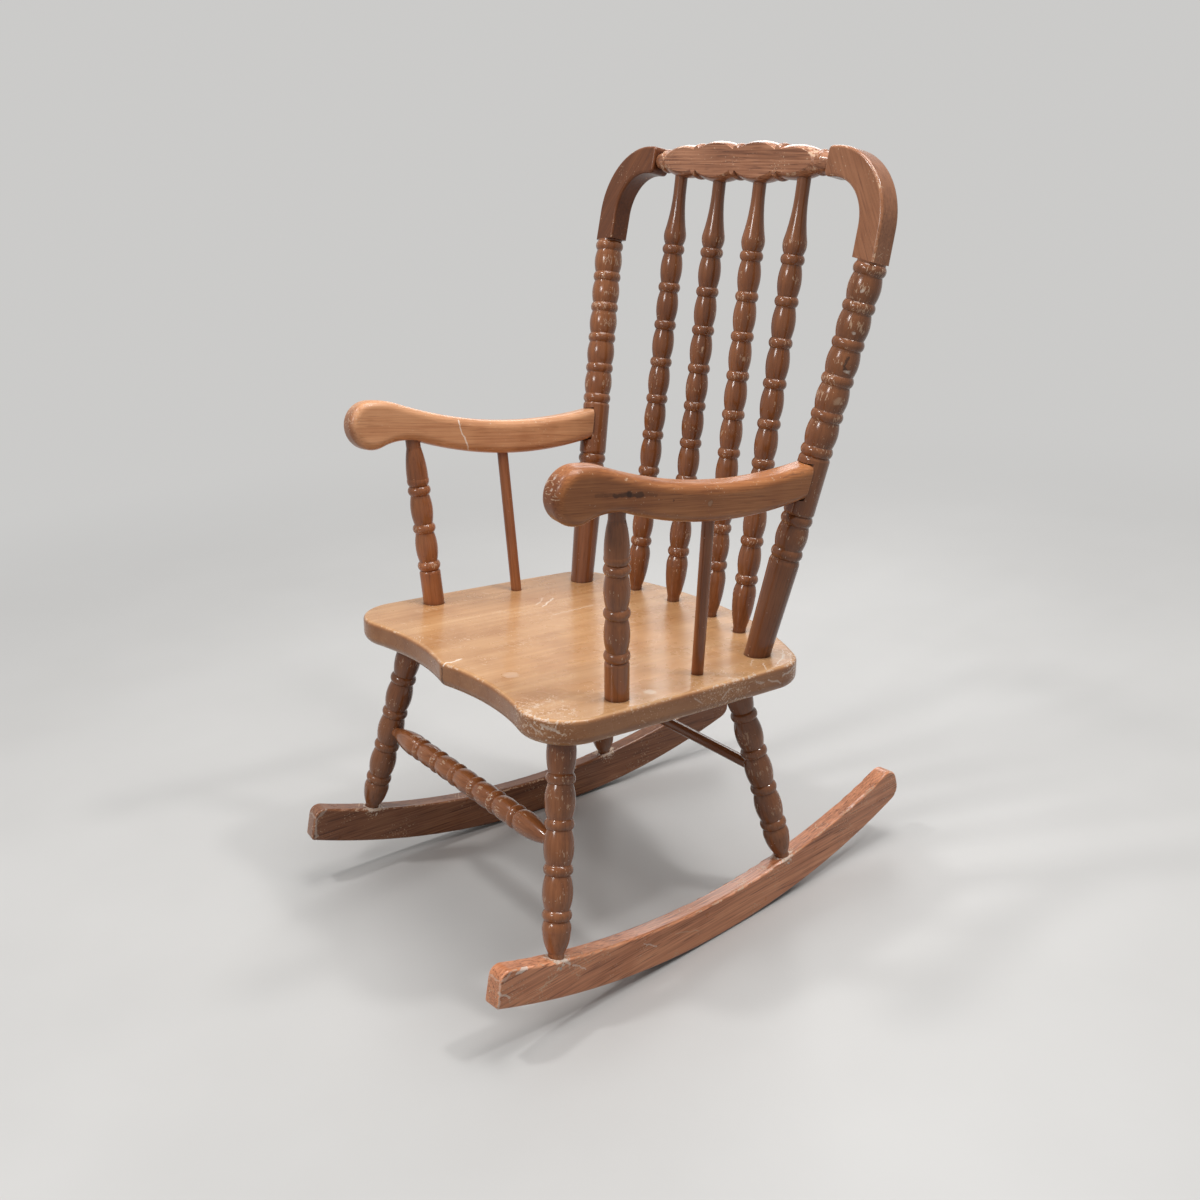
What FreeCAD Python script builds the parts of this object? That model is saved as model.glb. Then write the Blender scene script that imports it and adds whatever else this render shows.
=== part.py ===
import FreeCAD, Part
import math
import os

import Sketcher
from FreeCAD import Placement, Rotation, Vector

# Child's spindle-back rocking chair with bobbin-turned posts, legs and spindles, in millimetres.
# The chair faces -Y, +Z is up and the origin is on the floor, midway along the rockers.
# Lengths on the seat are measured from a line across its top face, called the seat line.
SIZES = {
    # rockers
    "rocker_spread": 160.0,  # from the middle of the chair to the middle of a rocker
    "rocker_toe_in": 4.9,  # degrees that each rocker turns inward to the rear
    "rocker_front": 266.0,  # from the middle of a rocker to its front tip
    "rocker_rear": 268.6,
    "rocker_low": 9.7,  # where a rocker meets the floor, behind its middle
    "rocker_sole_radius": 730.0,
    "rocker_top_flatter": 16.0,  # how much larger the radius of its top is
    "rocker_depth": 39.0,
    "rocker_thickness": 18.0,
    "rocker_end_slant": 9.0,
    "rocker_front_round": 10.0,
    "rocker_toe_round": 3.5,
    "rocker_rear_round": 14.0,
    "rocker_edge_round": 2.5,
    # seat board
    "seat_height": 275.5,
    "seat_setback": -59.0,  # from the middle of the rockers to the seat line
    "seat_tilt": 5.05,  # degrees that the seat falls to the rear
    "seat_width": 374.0,
    "seat_taper": 5.0,  # how much each side draws in towards the rear
    "seat_side_end": 132.0,
    "seat_front": 126.0,
    "seat_back": 204.0,
    "seat_thickness": 24.6,
    "seat_rear_corner": 40.0,
    "seat_top_round": 4.0,
    "seat_under_round": 9.0,
    "bow_span": 132.0,  # from the point at the middle of the front edge to each front corner
    "bow_depth": 8.5,
    "bow_tip_radius": 12.0,
    # joints
    "glue_gap": 0.1,  # round a tenon
    "socket_slack": 0.6,  # past the end of a tenon
    # small swell on the tapers of every turning
    "taper_swell": 1.0,
    # legs
    "leg_front_x": 135.0,
    "leg_front_y": -82.0,
    "leg_rear_x": 117.0,
    "leg_rear_y": 126.5,
    "foot_front": -194.0,  # along the rocker from its middle
    "foot_rear": 93.5,
    "foot_sink": 2.5,
    "foot_land": 5.5,
    "foot_end_radius": 7.2,
    "foot_swell_radius": 12.6,
    "foot_swell_height": 24.0,
    "foot_tenon_radius": 4.25,
    "foot_tenon_length": 10.0,
    "leg_first_bead": 39.0,
    "leg_top_margin": 46.0,  # from the last bead to the seat
    "leg_neck_radius": 11.0,
    "leg_bead_width": 9.5,
    "leg_bead_swell": 2.2,
    "leg_barrel_swell": 2.6,
    "leg_tenon_radius": 10.2,
    "leg_tenon_length": 14.0,
    # stretchers
    "stretcher_end_radius": 5.6,
    "stretcher_seat": 9.0,  # how deep a stretcher end goes into a leg
    "stretcher_end_margin": 63.0,  # from the last bead to the end
    "stretcher_neck_radius": 9.2,
    "stretcher_bead_width": 9.0,
    "stretcher_bead_swell": 2.2,
    "stretcher_barrel_swell": 2.0,
    # back posts
    "post_foot_x": 144.0,
    "post_foot_y": 132.5,
    "post_top_x": 191.5,
    "post_top_y": 198.4,
    "post_top_height": 359.0,
    "post_foot_radius": 12.3,
    "post_plain_radius": 14.3,
    "post_neck_radius": 12.8,
    "post_top_margin": 6.5,  # from the last bead to the bracket
    "post_arm_offset": 4.6,  # from the middle of the plain stretch up to the arm
    "post_bead_width": 9.5,
    "post_bead_swell": 1.9,
    "post_barrel_swell": 1.9,
    "post_tenon_length": 15.0,
    "post_peg_radius": 5.5,
    "post_peg_length": 12.0,
    "post_notch_depth": 4.6,
    # spindles
    "spindle_outer_x": 84.5,
    "spindle_outer_y": 162.0,
    "spindle_outer_head_x": 88.8,
    "spindle_inner_x": 30.4,
    "spindle_inner_y": 170.5,
    "spindle_inner_head_x": 29.2,
    "spindle_end_radius": 6.4,
    "spindle_neck_radius": 9.1,
    "spindle_vase_radius": 11.1,
    "spindle_first_bead": 53.5,
    "spindle_top_margin": 86.0,  # from the last bead to the middle of the crest
    "spindle_bead_width": 9.5,
    "spindle_bead_swell": 2.2,
    "spindle_barrel_swell": 2.1,
    "spindle_tenon_length": 12.0,
    "spindle_head_gap": 4.0,  # from the end of a spindle to the middle of the crest
    # crest rail and shoulder brackets
    "crest_reach": 124.0,  # from the middle to each end
    "crest_thickness": 22.0,
    "crest_end_radius": 7.5,
    "crest_cone": 10.0,
    "crest_end_neck": 10.0,
    "crest_end_bead": 6.0,
    "crest_end_swell": 1.6,
    "crest_outer_barrel": 46.0,
    "crest_outer_swell": 3.2,
    "crest_neck": 14.5,
    "crest_bead_width": 7.0,
    "crest_bead_swell": 2.6,
    "crest_inner_swell": 4.9,
    "bracket_thickness": 22.0,
    "bracket_inner_radius": 41.0,
    "bracket_outer_radius": 68.0,
    "bracket_foot_rise": 28.0,
    "bracket_shift": 2.0,  # how far the foot stands in from the axis of the post
    "bracket_nose_round": 4.5,
    "bracket_edge_round": 3.0,
    "crest_dowel_radius": 4.0,
    "crest_dowel_length": 30.0,
    # arms, with heights measured from the seat's top face
    "arm_front_x": 174.2,
    "arm_front": 125.7,
    "arm_paw_radius": 24.3,
    "arm_paw_height": 188.9,
    "arm_crown_radius": 80.0,
    "arm_dip_drop": 33.4,  # how far the top sags below the paw
    "arm_top_radius": 460.0,
    "arm_depth": 33.8,
    "arm_neck_rise": 6.4,  # how far the hollow behind the paw rises above its underside
    "arm_neck_radius": 60.0,
    "arm_belly_radius": 387.0,
    "arm_thickness": 25.0,
    "arm_lean": 6.5,  # how far the top of the arm leans outward, in degrees
    "arm_edge_round": 8.0,
    "arm_post_x": 160.8,
    "arm_post_y": -43.0,
    "arm_post_head": -56.0,  # along the arm from the seat line
    "arm_post_foot_radius": 10.9,
    "arm_post_neck_radius": 9.4,
    "arm_post_head_radius": 7.4,
    "arm_post_first_bead": 40.7,
    "arm_post_top_margin": 51.0,  # from the last bead to the arm
    "arm_post_bead_width": 9.5,
    "arm_post_bead_swell": 2.3,
    "arm_post_barrel_swell": 2.0,
    "arm_post_tenon_length": 14.0,
    "arm_dowel_x": 152.6,
    "arm_dowel_y": 52.7,
    "arm_dowel_head": 46.0,
    "arm_dowel_radius": 5.6,
    "arm_dowel_tenon_length": 12.0,
    # fasteners
    "screw_head_radius": 4.0,
    "screw_head_height": 2.6,
    "screw_radius": 1.9,
    "screw_length": 38.0,
    "pin_radius": 1.0,
    "pin_length": 13.0,
}

# Counts of beads on each kind of turning.
LEG_BEADS = 4
STRETCHER_BEADS = 6
POST_BEADS_BELOW_ARM = 2
POST_BEADS_ABOVE_ARM = 6
SPINDLE_BEADS = 9
ARM_POST_BEADS = 3

LEFT = 1
RIGHT = -1
SIDES = {"left": LEFT, "right": RIGHT}


class Size:
    """A length that keeps the sheet formula it came from, so that a feature can be bound to it."""

    def __init__(self, number, formula=None):
        self.number = float(number)
        self.formula = formula or f"({self.number!r})"

    def joined(self, other, sign, number, swapped=False):
        first, second = (other, self) if swapped else (self, other)
        return Size(number, f"({first.formula} {sign} {second.formula})")

    def __add__(self, other):
        other = as_size(other)
        return self.joined(other, "+", self.number + other.number)

    def __radd__(self, other):
        return as_size(other) + self

    def __sub__(self, other):
        other = as_size(other)
        return self.joined(other, "-", self.number - other.number)

    def __rsub__(self, other):
        return as_size(other) - self

    def __mul__(self, other):
        other = as_size(other)
        return self.joined(other, "*", self.number * other.number)

    def __rmul__(self, other):
        return as_size(other) * self

    def __truediv__(self, other):
        other = as_size(other)
        return self.joined(other, "/", self.number / other.number)

    def __neg__(self):
        return as_size(0) - self


def as_size(value):
    return value if isinstance(value, Size) else Size(value)


def root(size):
    return Size(math.sqrt(size.number), f"sqrt({size.formula})")


def spread(a, b, share):
    """Returns the point that lies the given share of the way from a to b."""
    return a[0] + (b[0] - a[0]) * share, a[1] + (b[1] - a[1]) * share


doc = FreeCAD.newDocument("bobbin_rocker")
sheet = doc.addObject("Spreadsheet::Sheet", "Sheet")
for row, (alias, number) in enumerate(SIZES.items(), start=1):
    sheet.set(f"A{row}", alias)
    sheet.set(f"B{row}", str(number))
    sheet.setAlias(f"B{row}", alias)
doc.recompute()
s = {alias: Size(sheet.get(alias), f"Sheet.{alias}") for alias in SIZES}
finished = []


def bind(feature, name, size):
    """Ties one property of a feature to the sheet."""
    feature.setExpression(name, as_size(size).formula)


def finish(piece, label):
    """Names a finished sub-part and puts it on the list of those to write."""
    piece.Label = label
    finished.append(piece)
    return piece


# Sketches and solids


def arc_between(start, end, radius, turn):
    """Makes the short arc from start to end, turning left (1) or right (-1)."""
    chord = end - start
    half = chord.Length / 2
    rise = math.sqrt(max(radius * radius - half * half, 0.0))
    left = Vector(-chord.y, chord.x, 0).normalize()
    middle = (start + end) * 0.5 + left * (rise * turn)
    circle = Part.Circle(middle, Vector(0, 0, 1), radius)
    first, last = (start, end) if turn > 0 else (end, start)
    angles = [math.atan2(p.y - middle.y, p.x - middle.x) for p in (first, last)]
    return Part.ArcOfCircle(circle, *angles)


def draw(body, plane, corners):
    """Draws a closed outline. Each corner is x, y and, for an arc to the next one, (radius, turn)."""
    sketch = body.newObject("Sketcher::SketchObject", "Outline")
    support = next(f for f in body.Origin.OriginFeatures if f.Role == plane)
    sketch.AttachmentSupport = [(support, "")]
    sketch.MapMode = "FlatFace"
    corners = [(as_size(x), as_size(y), bend) for x, y, bend in corners]
    points = [Vector(x.number, y.number, 0) for x, y, _ in corners]
    shapes, ends = [], []
    for index, (_, _, bend) in enumerate(corners):
        start, end = points[index], points[(index + 1) % len(points)]
        if bend is None:
            shapes.append(Part.LineSegment(start, end))
            ends.append((1, 2))
        else:
            radius, turn = bend
            shapes.append(arc_between(start, end, radius.number, turn))
            ends.append((1, 2) if turn > 0 else (2, 1))
    sketch.addGeometry(shapes, False)
    ties = []
    for index, (x, y, bend) in enumerate(corners):
        after = (index + 1) % len(corners)
        meeting = (index, ends[index][1], after, ends[after][0])
        sketch.addConstraint(Sketcher.Constraint("Coincident", *meeting))
        for kind, value in (("DistanceX", x), ("DistanceY", y)):
            ties.append((Sketcher.Constraint(kind, -1, 1, index, ends[index][0], value.number), value))
        if bend is not None:
            ties.append((Sketcher.Constraint("Radius", index, bend[0].number), bend[0]))
    places = sketch.addConstraint([tie for tie, _ in ties])
    for place, (_, value) in zip(places, ties):
        bind(sketch, f"Constraints[{place}]", value)
    return sketch


def new_body(name):
    return doc.addObject("PartDesign::Body", name)


def board(name, corners, thickness):
    """Pads an outline in the XY plane to both sides of it."""
    body = new_body(name)
    sketch = draw(body, "XY_Plane", corners)
    pad = body.newObject("PartDesign::Pad", "Board")
    pad.Profile = sketch
    pad.Midplane = True
    bind(pad, "Length", thickness)
    doc.recompute()
    return body


def edges_where(feature, test):
    return [f"Edge{n}" for n, edge in enumerate(feature.Shape.Edges, start=1) if test(edge)]


def round_edges(body, radius, test):
    """Rounds the edges of the body's last feature that pass the test."""
    base = body.Tip
    fillet = body.newObject("PartDesign::Fillet", "Rounding")
    fillet.Base = (base, edges_where(base, test))
    bind(fillet, "Radius", radius)
    doc.recompute()


def on_face(edge):
    """Says whether an edge lies in one of the two flat faces of a board."""
    return edge.BoundBox.ZLength < 1e-6


def across(edge):
    """Says whether an edge runs straight through a board's thickness."""
    return edge.BoundBox.XLength < 1e-6 and edge.BoundBox.YLength < 1e-6


class Turning:
    """The half outline of a turned piece, worked from its lower end to its upper end."""

    def __init__(self, radius, height):
        self.corners = [[as_size(0), as_size(height), None], [as_size(radius), as_size(height), None]]

    def to(self, radius, height, swell=None, turn=1):
        """Goes on to a new radius and height, straight or with a swell (1) or a hollow (-1)."""
        radius, height = as_size(radius), as_size(height)
        last = self.corners[-1]
        if swell is not None:
            swell = as_size(swell)
            wide, high = radius - last[0], height - last[1]
            chord = wide * wide + high * high
            last[2] = ((chord / 4 + swell * swell) / (swell * 2), turn)
        self.corners.append([radius, height, None])
        return self

    def bobbins(self, kind, stations):
        """Adds beads at the stations, with a barrel between each two of them."""
        neck = s[f"{kind}_neck_radius"]
        half = s[f"{kind}_bead_width"] / 2
        for index, station in enumerate(stations):
            if index:
                self.to(neck, station - half, s[f"{kind}_barrel_swell"])
            self.to(neck, station + half, s[f"{kind}_bead_swell"])
        return self

    def solid(self, name):
        """Revolves the outline about its axis."""
        top = self.corners[-1][1]
        body = new_body(name)
        sketch = draw(body, "XZ_Plane", self.corners + [[as_size(0), top, None]])
        turned = body.newObject("PartDesign::Revolution", "Turning")
        turned.Profile = sketch
        turned.ReferenceAxis = (sketch, ["V_Axis"])
        turned.Angle = 360
        return body


def drill(place, radius, length):
    """Makes a round cutting tool, or a plain round piece, from a place along its own axis."""
    tool = doc.addObject("Part::Cylinder", "Drill")
    bind(tool, "Radius", radius)
    bind(tool, "Height", length)
    tool.Placement = place
    return tool


def slab(place, low, high):
    """Makes a block between two corners given in the axes of a place."""
    block = doc.addObject("Part::Box", "Block")
    block.Length, block.Width, block.Height = high - low
    block.Placement = place.multiply(Placement(low, Rotation()))
    return block


def cut(base, tools):
    """Takes all the tools away from a solid."""
    tool = tools[0]
    if len(tools) > 1:
        tool = doc.addObject("Part::MultiFuse", "Drills")
        tool.Shapes = tools
    result = doc.addObject("Part::Cut", "Cut")
    result.Base = base
    result.Tool = tool
    return result


# Places


def facing(base, direction):
    """Returns the place at base whose Z axis points along a direction."""
    return Placement(base, Rotation(Vector(0, 0, 1), direction))


def ahead(place, distance):
    """Moves a place along its own Z axis."""
    return place.multiply(Placement(Vector(0, 0, distance), Rotation()))


def between(start, end):
    return facing(start, end - start)


def mirrored(point, side):
    return Vector(point.x * side, point.y, point.z)


def n(alias):
    return s[alias].number


seat_turn = Rotation(Vector(1, 0, 0), -n("seat_tilt"))
seat_place = Placement(Vector(0, n("seat_setback"), n("seat_height")), seat_turn)


def on_seat(x, y, z=0.0):
    return seat_place.multVec(Vector(x, y, z))


def socket(place, kind_radius, depth):
    """Drills a socket that a tenon of the given radius fills from a place on its axis."""
    return drill(place, kind_radius + s["glue_gap"], depth + s["socket_slack"])


# Rockers

sole_radius = s["rocker_sole_radius"]
top_radius = sole_radius + s["rocker_top_flatter"]


def sole_height(along):
    aside = along - s["rocker_low"]
    return sole_radius - root(sole_radius * sole_radius - aside * aside)


def top_height(along):
    aside = along - s["rocker_low"]
    return s["rocker_depth"] + top_radius - root(top_radius * top_radius - aside * aside)


def rocker_place(side):
    """The rocker's own axes: X along it to the rear, Y up and Z across it."""
    turn = Rotation(Vector(0, 0, 1), 90 + side * n("rocker_toe_in"))
    return Placement(Vector(side * n("rocker_spread"), 0, 0), turn.multiply(Rotation(Vector(1, 0, 0), 90)))


def rocker_body(name):
    front, rear = -s["rocker_front"], s["rocker_rear"]
    front_top, rear_top = front + s["rocker_end_slant"], rear - s["rocker_end_slant"]
    corners = [
        (front, sole_height(front), (sole_radius, 1)),
        (rear, sole_height(rear), None),
        (rear_top, top_height(rear_top), (top_radius, -1)),
        (front_top, top_height(front_top), None),
    ]
    body = board(name, corners, s["rocker_thickness"])
    tip = sole_height(front).number + 1

    def rear_tip(edge):
        return across(edge) and edge.BoundBox.XMin > 0

    def front_nose(edge):
        return across(edge) and edge.BoundBox.XMin < front_top.number + 1 and edge.BoundBox.YMin > tip

    def front_toe(edge):
        return across(edge) and edge.BoundBox.XMin < front.number + 1 and edge.BoundBox.YMin < tip

    round_edges(body, s["rocker_rear_round"], rear_tip)
    round_edges(body, s["rocker_front_round"], front_nose)
    round_edges(body, s["rocker_toe_round"], front_toe)
    round_edges(body, s["rocker_edge_round"], on_face)
    return body


# Legs: the axis runs from the foot on the rocker to the socket under the seat


def leg_line(end, side):
    """Returns the place of a leg's foot, with Z up the leg, and the length from there to the seat."""
    along = s[f"foot_{end}"]
    foot = rocker_place(side).multVec(Vector(along.number, top_height(along).number, 0))
    head = on_seat(side * n(f"leg_{end}_x"), n(f"leg_{end}_y"), -n("seat_thickness"))
    place = ahead(between(foot, head), -n("foot_sink"))
    return place, (head - foot).Length + n("foot_sink")


def pitch_of(kind, length, beads):
    """Distance between beads that fills a turning from its first bead to the margin at its top."""
    return (as_size(length) - s[f"{kind}_first_bead"] - s[f"{kind}_top_margin"]) / (beads - 1)


def leg_body(name, length):
    first, pitch = s["leg_first_bead"], pitch_of("leg", length, LEG_BEADS)
    half = s["leg_bead_width"] / 2
    neck = s["leg_neck_radius"]
    shape = Turning(s["foot_tenon_radius"], -s["foot_tenon_length"])
    shape.to(s["foot_tenon_radius"], 0)
    shape.to(s["foot_end_radius"], 0)
    shape.to(s["foot_end_radius"], s["foot_land"])
    shape.to(s["foot_swell_radius"], s["foot_swell_height"], s["taper_swell"])
    shape.to(neck, first - half, s["taper_swell"])
    shape.bobbins("leg", [first + pitch * i for i in range(LEG_BEADS)])
    plain = as_size(length) - s["leg_tenon_radius"] / 2
    shape.to(s["leg_tenon_radius"], plain, s["leg_barrel_swell"])
    shape.to(s["leg_tenon_radius"], as_size(length) + s["leg_tenon_length"])
    return shape.solid(name)


def stretcher_line(end):
    """Returns where a stretcher meets the axis of the left leg, in the middle of a barrel."""
    place, length = leg_line(end, LEFT)
    station = s["leg_first_bead"] + pitch_of("leg", length, LEG_BEADS) * 1.5
    return ahead(place, station.number).Base


def stretcher_place(end):
    return facing(Vector(0, stretcher_line(end).y, stretcher_line(end).z), Vector(1, 0, 0))


def stretcher_end(end):
    """How far a stretcher reaches to each side, into the legs."""
    barrel = s["leg_neck_radius"] + s["leg_barrel_swell"]
    return as_size(stretcher_line(end).x) - barrel + s["stretcher_seat"]


def stretcher_socket(end, side):
    start = ahead(stretcher_place(end), side * stretcher_end(end).number)
    inward = facing(start.Base, Vector(-side, 0, 0))
    start = ahead(inward, -n("socket_slack"))
    return drill(start, s["stretcher_end_radius"] + s["glue_gap"], s["stretcher_seat"] * 3)


def pin_place(end, side):
    """The cross pin of a foot: from the outer face of the rocker through the tenon."""
    place, _ = leg_line(end, side)
    middle = ahead(place, -n("foot_tenon_length") / 2).Base
    flat = rocker_place(side)
    local = flat.inverse().multVec(middle)
    outward = side * n("rocker_thickness") / 2
    outer = flat.multVec(Vector(local.x, local.y, outward))
    return between(outer, flat.multVec(Vector(local.x, local.y, 0)))


def pin_hole(end, side):
    start = ahead(pin_place(end, side), -n("socket_slack"))
    return drill(start, s["pin_radius"] + s["glue_gap"], s["pin_length"] + s["socket_slack"] * 2)


ENDS = ("front", "rear")

for name, side in SIDES.items():
    rocker = rocker_body(f"rocker_{name}_body")
    rocker.Placement = rocker_place(side)
    tools = []
    for end in ENDS:
        place, length = leg_line(end, side)
        leg = leg_body(f"leg_{end}_{name}_body", length)
        leg.Placement = place
        finish(cut(leg, [stretcher_socket(end, side), pin_hole(end, side)]), f"leg_{end}_{name}")
        depth = s["foot_tenon_length"] + s["socket_slack"]
        tools.append(drill(ahead(place, -depth.number), s["foot_tenon_radius"] + s["glue_gap"], depth * 2))
        tools.append(drill(place, s["foot_end_radius"] + s["glue_gap"], s["foot_land"]))
        tools.append(pin_hole(end, side))
    finish(cut(rocker, tools), f"rocker_{name}")

pins = doc.addObject("Part::Compound", "Pins")
pins.Links = [
    drill(pin_place(end, side), s["pin_radius"], s["pin_length"])
    for end in ENDS
    for side in SIDES.values()
]
finish(pins, "rocker_pins")

# Stretchers: a turned one between the front legs and a plain rod between the rear legs

front_end = stretcher_end("front")
first_bead = front_end - s["stretcher_end_margin"]
stretcher_pitch = first_bead * 2 / (STRETCHER_BEADS - 1)
half_bead = s["stretcher_bead_width"] / 2
vase = s["stretcher_neck_radius"] + s["stretcher_barrel_swell"]
turned = Turning(s["stretcher_end_radius"], -front_end)
turned.to(s["stretcher_end_radius"], s["stretcher_seat"] * 1.5 - front_end)
turned.to(vase, -(first_bead + half_bead * 4), s["taper_swell"])
turned.to(s["stretcher_neck_radius"], -(first_bead + half_bead), s["taper_swell"])
turned.bobbins("stretcher", [stretcher_pitch * i - first_bead for i in range(STRETCHER_BEADS)])
turned.to(vase, first_bead + half_bead * 4, s["taper_swell"])
turned.to(s["stretcher_end_radius"], front_end - s["stretcher_seat"] * 1.5, s["taper_swell"])
turned.to(s["stretcher_end_radius"], front_end)
front_stretcher = turned.solid("front_stretcher_body")
front_stretcher.Placement = stretcher_place("front")
finish(front_stretcher, "front_stretcher")

rear_end = stretcher_end("rear")
rear_start = ahead(stretcher_place("rear"), -rear_end.number)
finish(drill(rear_start, s["stretcher_end_radius"], rear_end * 2), "rear_stretcher")

# Back posts: straight turnings that lean back and spread to the top

post_rise = [s["post_top_x"] - s["post_foot_x"], s["post_top_y"] - s["post_foot_y"], s["post_top_height"]]
post_length = root(post_rise[0] * post_rise[0] + post_rise[1] * post_rise[1] + post_rise[2] * post_rise[2])
post_lean = root(post_rise[1] * post_rise[1] + post_rise[2] * post_rise[2])


def post_foot(side):
    return on_seat(side * n("post_foot_x"), n("post_foot_y"))


def post_top(side):
    return on_seat(side * n("post_top_x"), n("post_top_y"), n("post_top_height"))


# Arms: the outline lies in a plane of its own, X to the rear and Y up from the seat

paw = (s["arm_paw_radius"] - s["arm_front"], s["arm_paw_height"])
paw_radius = s["arm_paw_radius"]
paw_top = (paw[0], paw[1] + paw_radius)


def touching(centre, radius, next_radius, drop):
    """Centre of the arc that meets another smoothly, further back, with the two far points a drop apart."""
    reach = radius + next_radius
    rise = reach - drop
    return centre + root(reach * reach - rise * rise)


crown_radius, top_radius_of_arm = s["arm_crown_radius"], s["arm_top_radius"]
crown_centre = (paw[0], paw_top[1] - crown_radius)
dip_height = paw_top[1] - s["arm_dip_drop"]
dip_x = touching(paw[0], crown_radius, top_radius_of_arm, s["arm_dip_drop"])
dip_centre = (dip_x, dip_height + top_radius_of_arm)
crown_end = spread(crown_centre, dip_centre, crown_radius / (crown_radius + top_radius_of_arm))
neck_radius, belly_radius = s["arm_neck_radius"], s["arm_belly_radius"]
neck_height = paw[1] - paw_radius + s["arm_neck_rise"]
neck_centre = (touching(paw[0], paw_radius, neck_radius, s["arm_neck_rise"]), neck_height - neck_radius)
neck_start = spread(paw, neck_centre, paw_radius / (paw_radius + neck_radius))
belly_low = dip_height - s["arm_depth"]
belly_x = touching(neck_centre[0], neck_radius, belly_radius, neck_height - belly_low)
belly_centre = (belly_x, belly_low + belly_radius)
neck_end = spread(neck_centre, belly_centre, neck_radius / (neck_radius + belly_radius))


def arm_top(along):
    """Height of the arm's upper edge behind the paw."""
    aside = as_size(along) - dip_x
    return dip_centre[1] - root(top_radius_of_arm * top_radius_of_arm - aside * aside)


def arm_underside(along):
    """Height of the arm's lower edge behind the paw."""
    along = as_size(along)
    if along.number < neck_end[0].number:
        aside = along - neck_centre[0]
        return neck_centre[1] + root(neck_radius * neck_radius - aside * aside)
    aside = along - belly_centre[0]
    return belly_centre[1] - root(belly_radius * belly_radius - aside * aside)


# The arm's middle line runs from the paw to the axis of the back post.
arm_rear_height = (dip_height - s["arm_depth"] / 2).number
arm_rear_share = arm_rear_height / n("post_top_height")
arm_rear = Vector(
    n("post_foot_x") + post_rise[0].number * arm_rear_share,
    n("post_foot_y") + post_rise[1].number * arm_rear_share,
    0,
)
arm_front = Vector(n("arm_front_x"), paw[0].number, 0)
arm_run = (arm_rear - arm_front).normalize()
arm_origin = arm_front - arm_run * (arm_front.y / arm_run.y)


def arm_place(side):
    """The arm's own axes: X along it to the rear, Y up, leaning outward like the posts, and Z across it."""
    along = mirrored(arm_run, side)
    up = Vector(0, 0, 1)
    upright = Placement(mirrored(arm_origin, side), Rotation(along, up, along.cross(up), "XYZ"))
    middle = Vector(0, arm_rear_height, 0)
    lean = Placement(Vector(), Rotation(Vector(1, 0, 0), side * n("arm_lean")), middle)
    return seat_place.multiply(upright).multiply(lean)


def arm_point(side, along):
    """A point on the arm's underside, on its middle line."""
    return arm_place(side).multVec(Vector(along, arm_underside(along).number, 0))


def post_place(side):
    """The post's own axes: Z up the post and Y to the rear in line with the arm."""
    up = (post_top(side) - post_foot(side)).normalize()
    along = arm_place(side).Rotation.multVec(Vector(1, 0, 0))
    rear = (along - up * along.dot(up)).normalize()
    return Placement(post_foot(side), Rotation(rear.cross(up), rear, up, "ZYX"))


notch_face = -(s["post_plain_radius"] - s["post_notch_depth"])
BEYOND = 40.0  # how far a cutting block reaches past what it cuts


# The arm's end, where it meets the front of the post.
joint_along = (arm_rear - arm_origin).Length + notch_face.number
joint_low, joint_high = arm_underside(joint_along).number, arm_top(joint_along).number
joint_slope = math.degrees((joint_along - dip_x.number) / top_radius_of_arm.number)


def joint_place(side):
    """The middle of the arm's end: X to the rear along the arm's slope and Z across it."""
    middle = Vector(joint_along, (joint_low + joint_high) / 2, 0)
    return arm_place(side).multiply(Placement(middle, Rotation(Vector(0, 0, 1), joint_slope)))


def joint_station(side):
    return post_place(side).inverse().multVec(joint_place(side).Base).z


def notch(side):
    """Cuts a housing with a flat back across the front of the post, for the end of the arm."""
    half = (joint_high - joint_low) / 2 + n("socket_slack")
    level = slab(joint_place(side), Vector(-BEYOND, -half, -BEYOND), Vector(BEYOND, half, BEYOND))
    station = joint_station(side)
    ahead_of_post = slab(
        post_place(side),
        Vector(-BEYOND, -BEYOND, station - BEYOND),
        Vector(BEYOND, notch_face.number, station + BEYOND),
    )
    housing = doc.addObject("Part::Common", "Housing")
    housing.Base = level
    housing.Tool = ahead_of_post
    return housing


def screw_place(side):
    """The arm screw: from the back of the post forward into the arm."""
    post = post_place(side)
    start = post.multVec(Vector(0, n("post_plain_radius"), joint_station(side)))
    return between(start, post.multVec(Vector(0, 0, joint_station(side))))


def screw_holes(side):
    place = screw_place(side)
    sunk = s["screw_head_height"] + s["socket_slack"]
    head = drill(ahead(place, -n("socket_slack")), s["screw_head_radius"] + s["glue_gap"], sunk)
    shank = drill(place, s["screw_radius"] + s["glue_gap"], s["screw_length"] + s["socket_slack"])
    return [head, shank]


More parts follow.
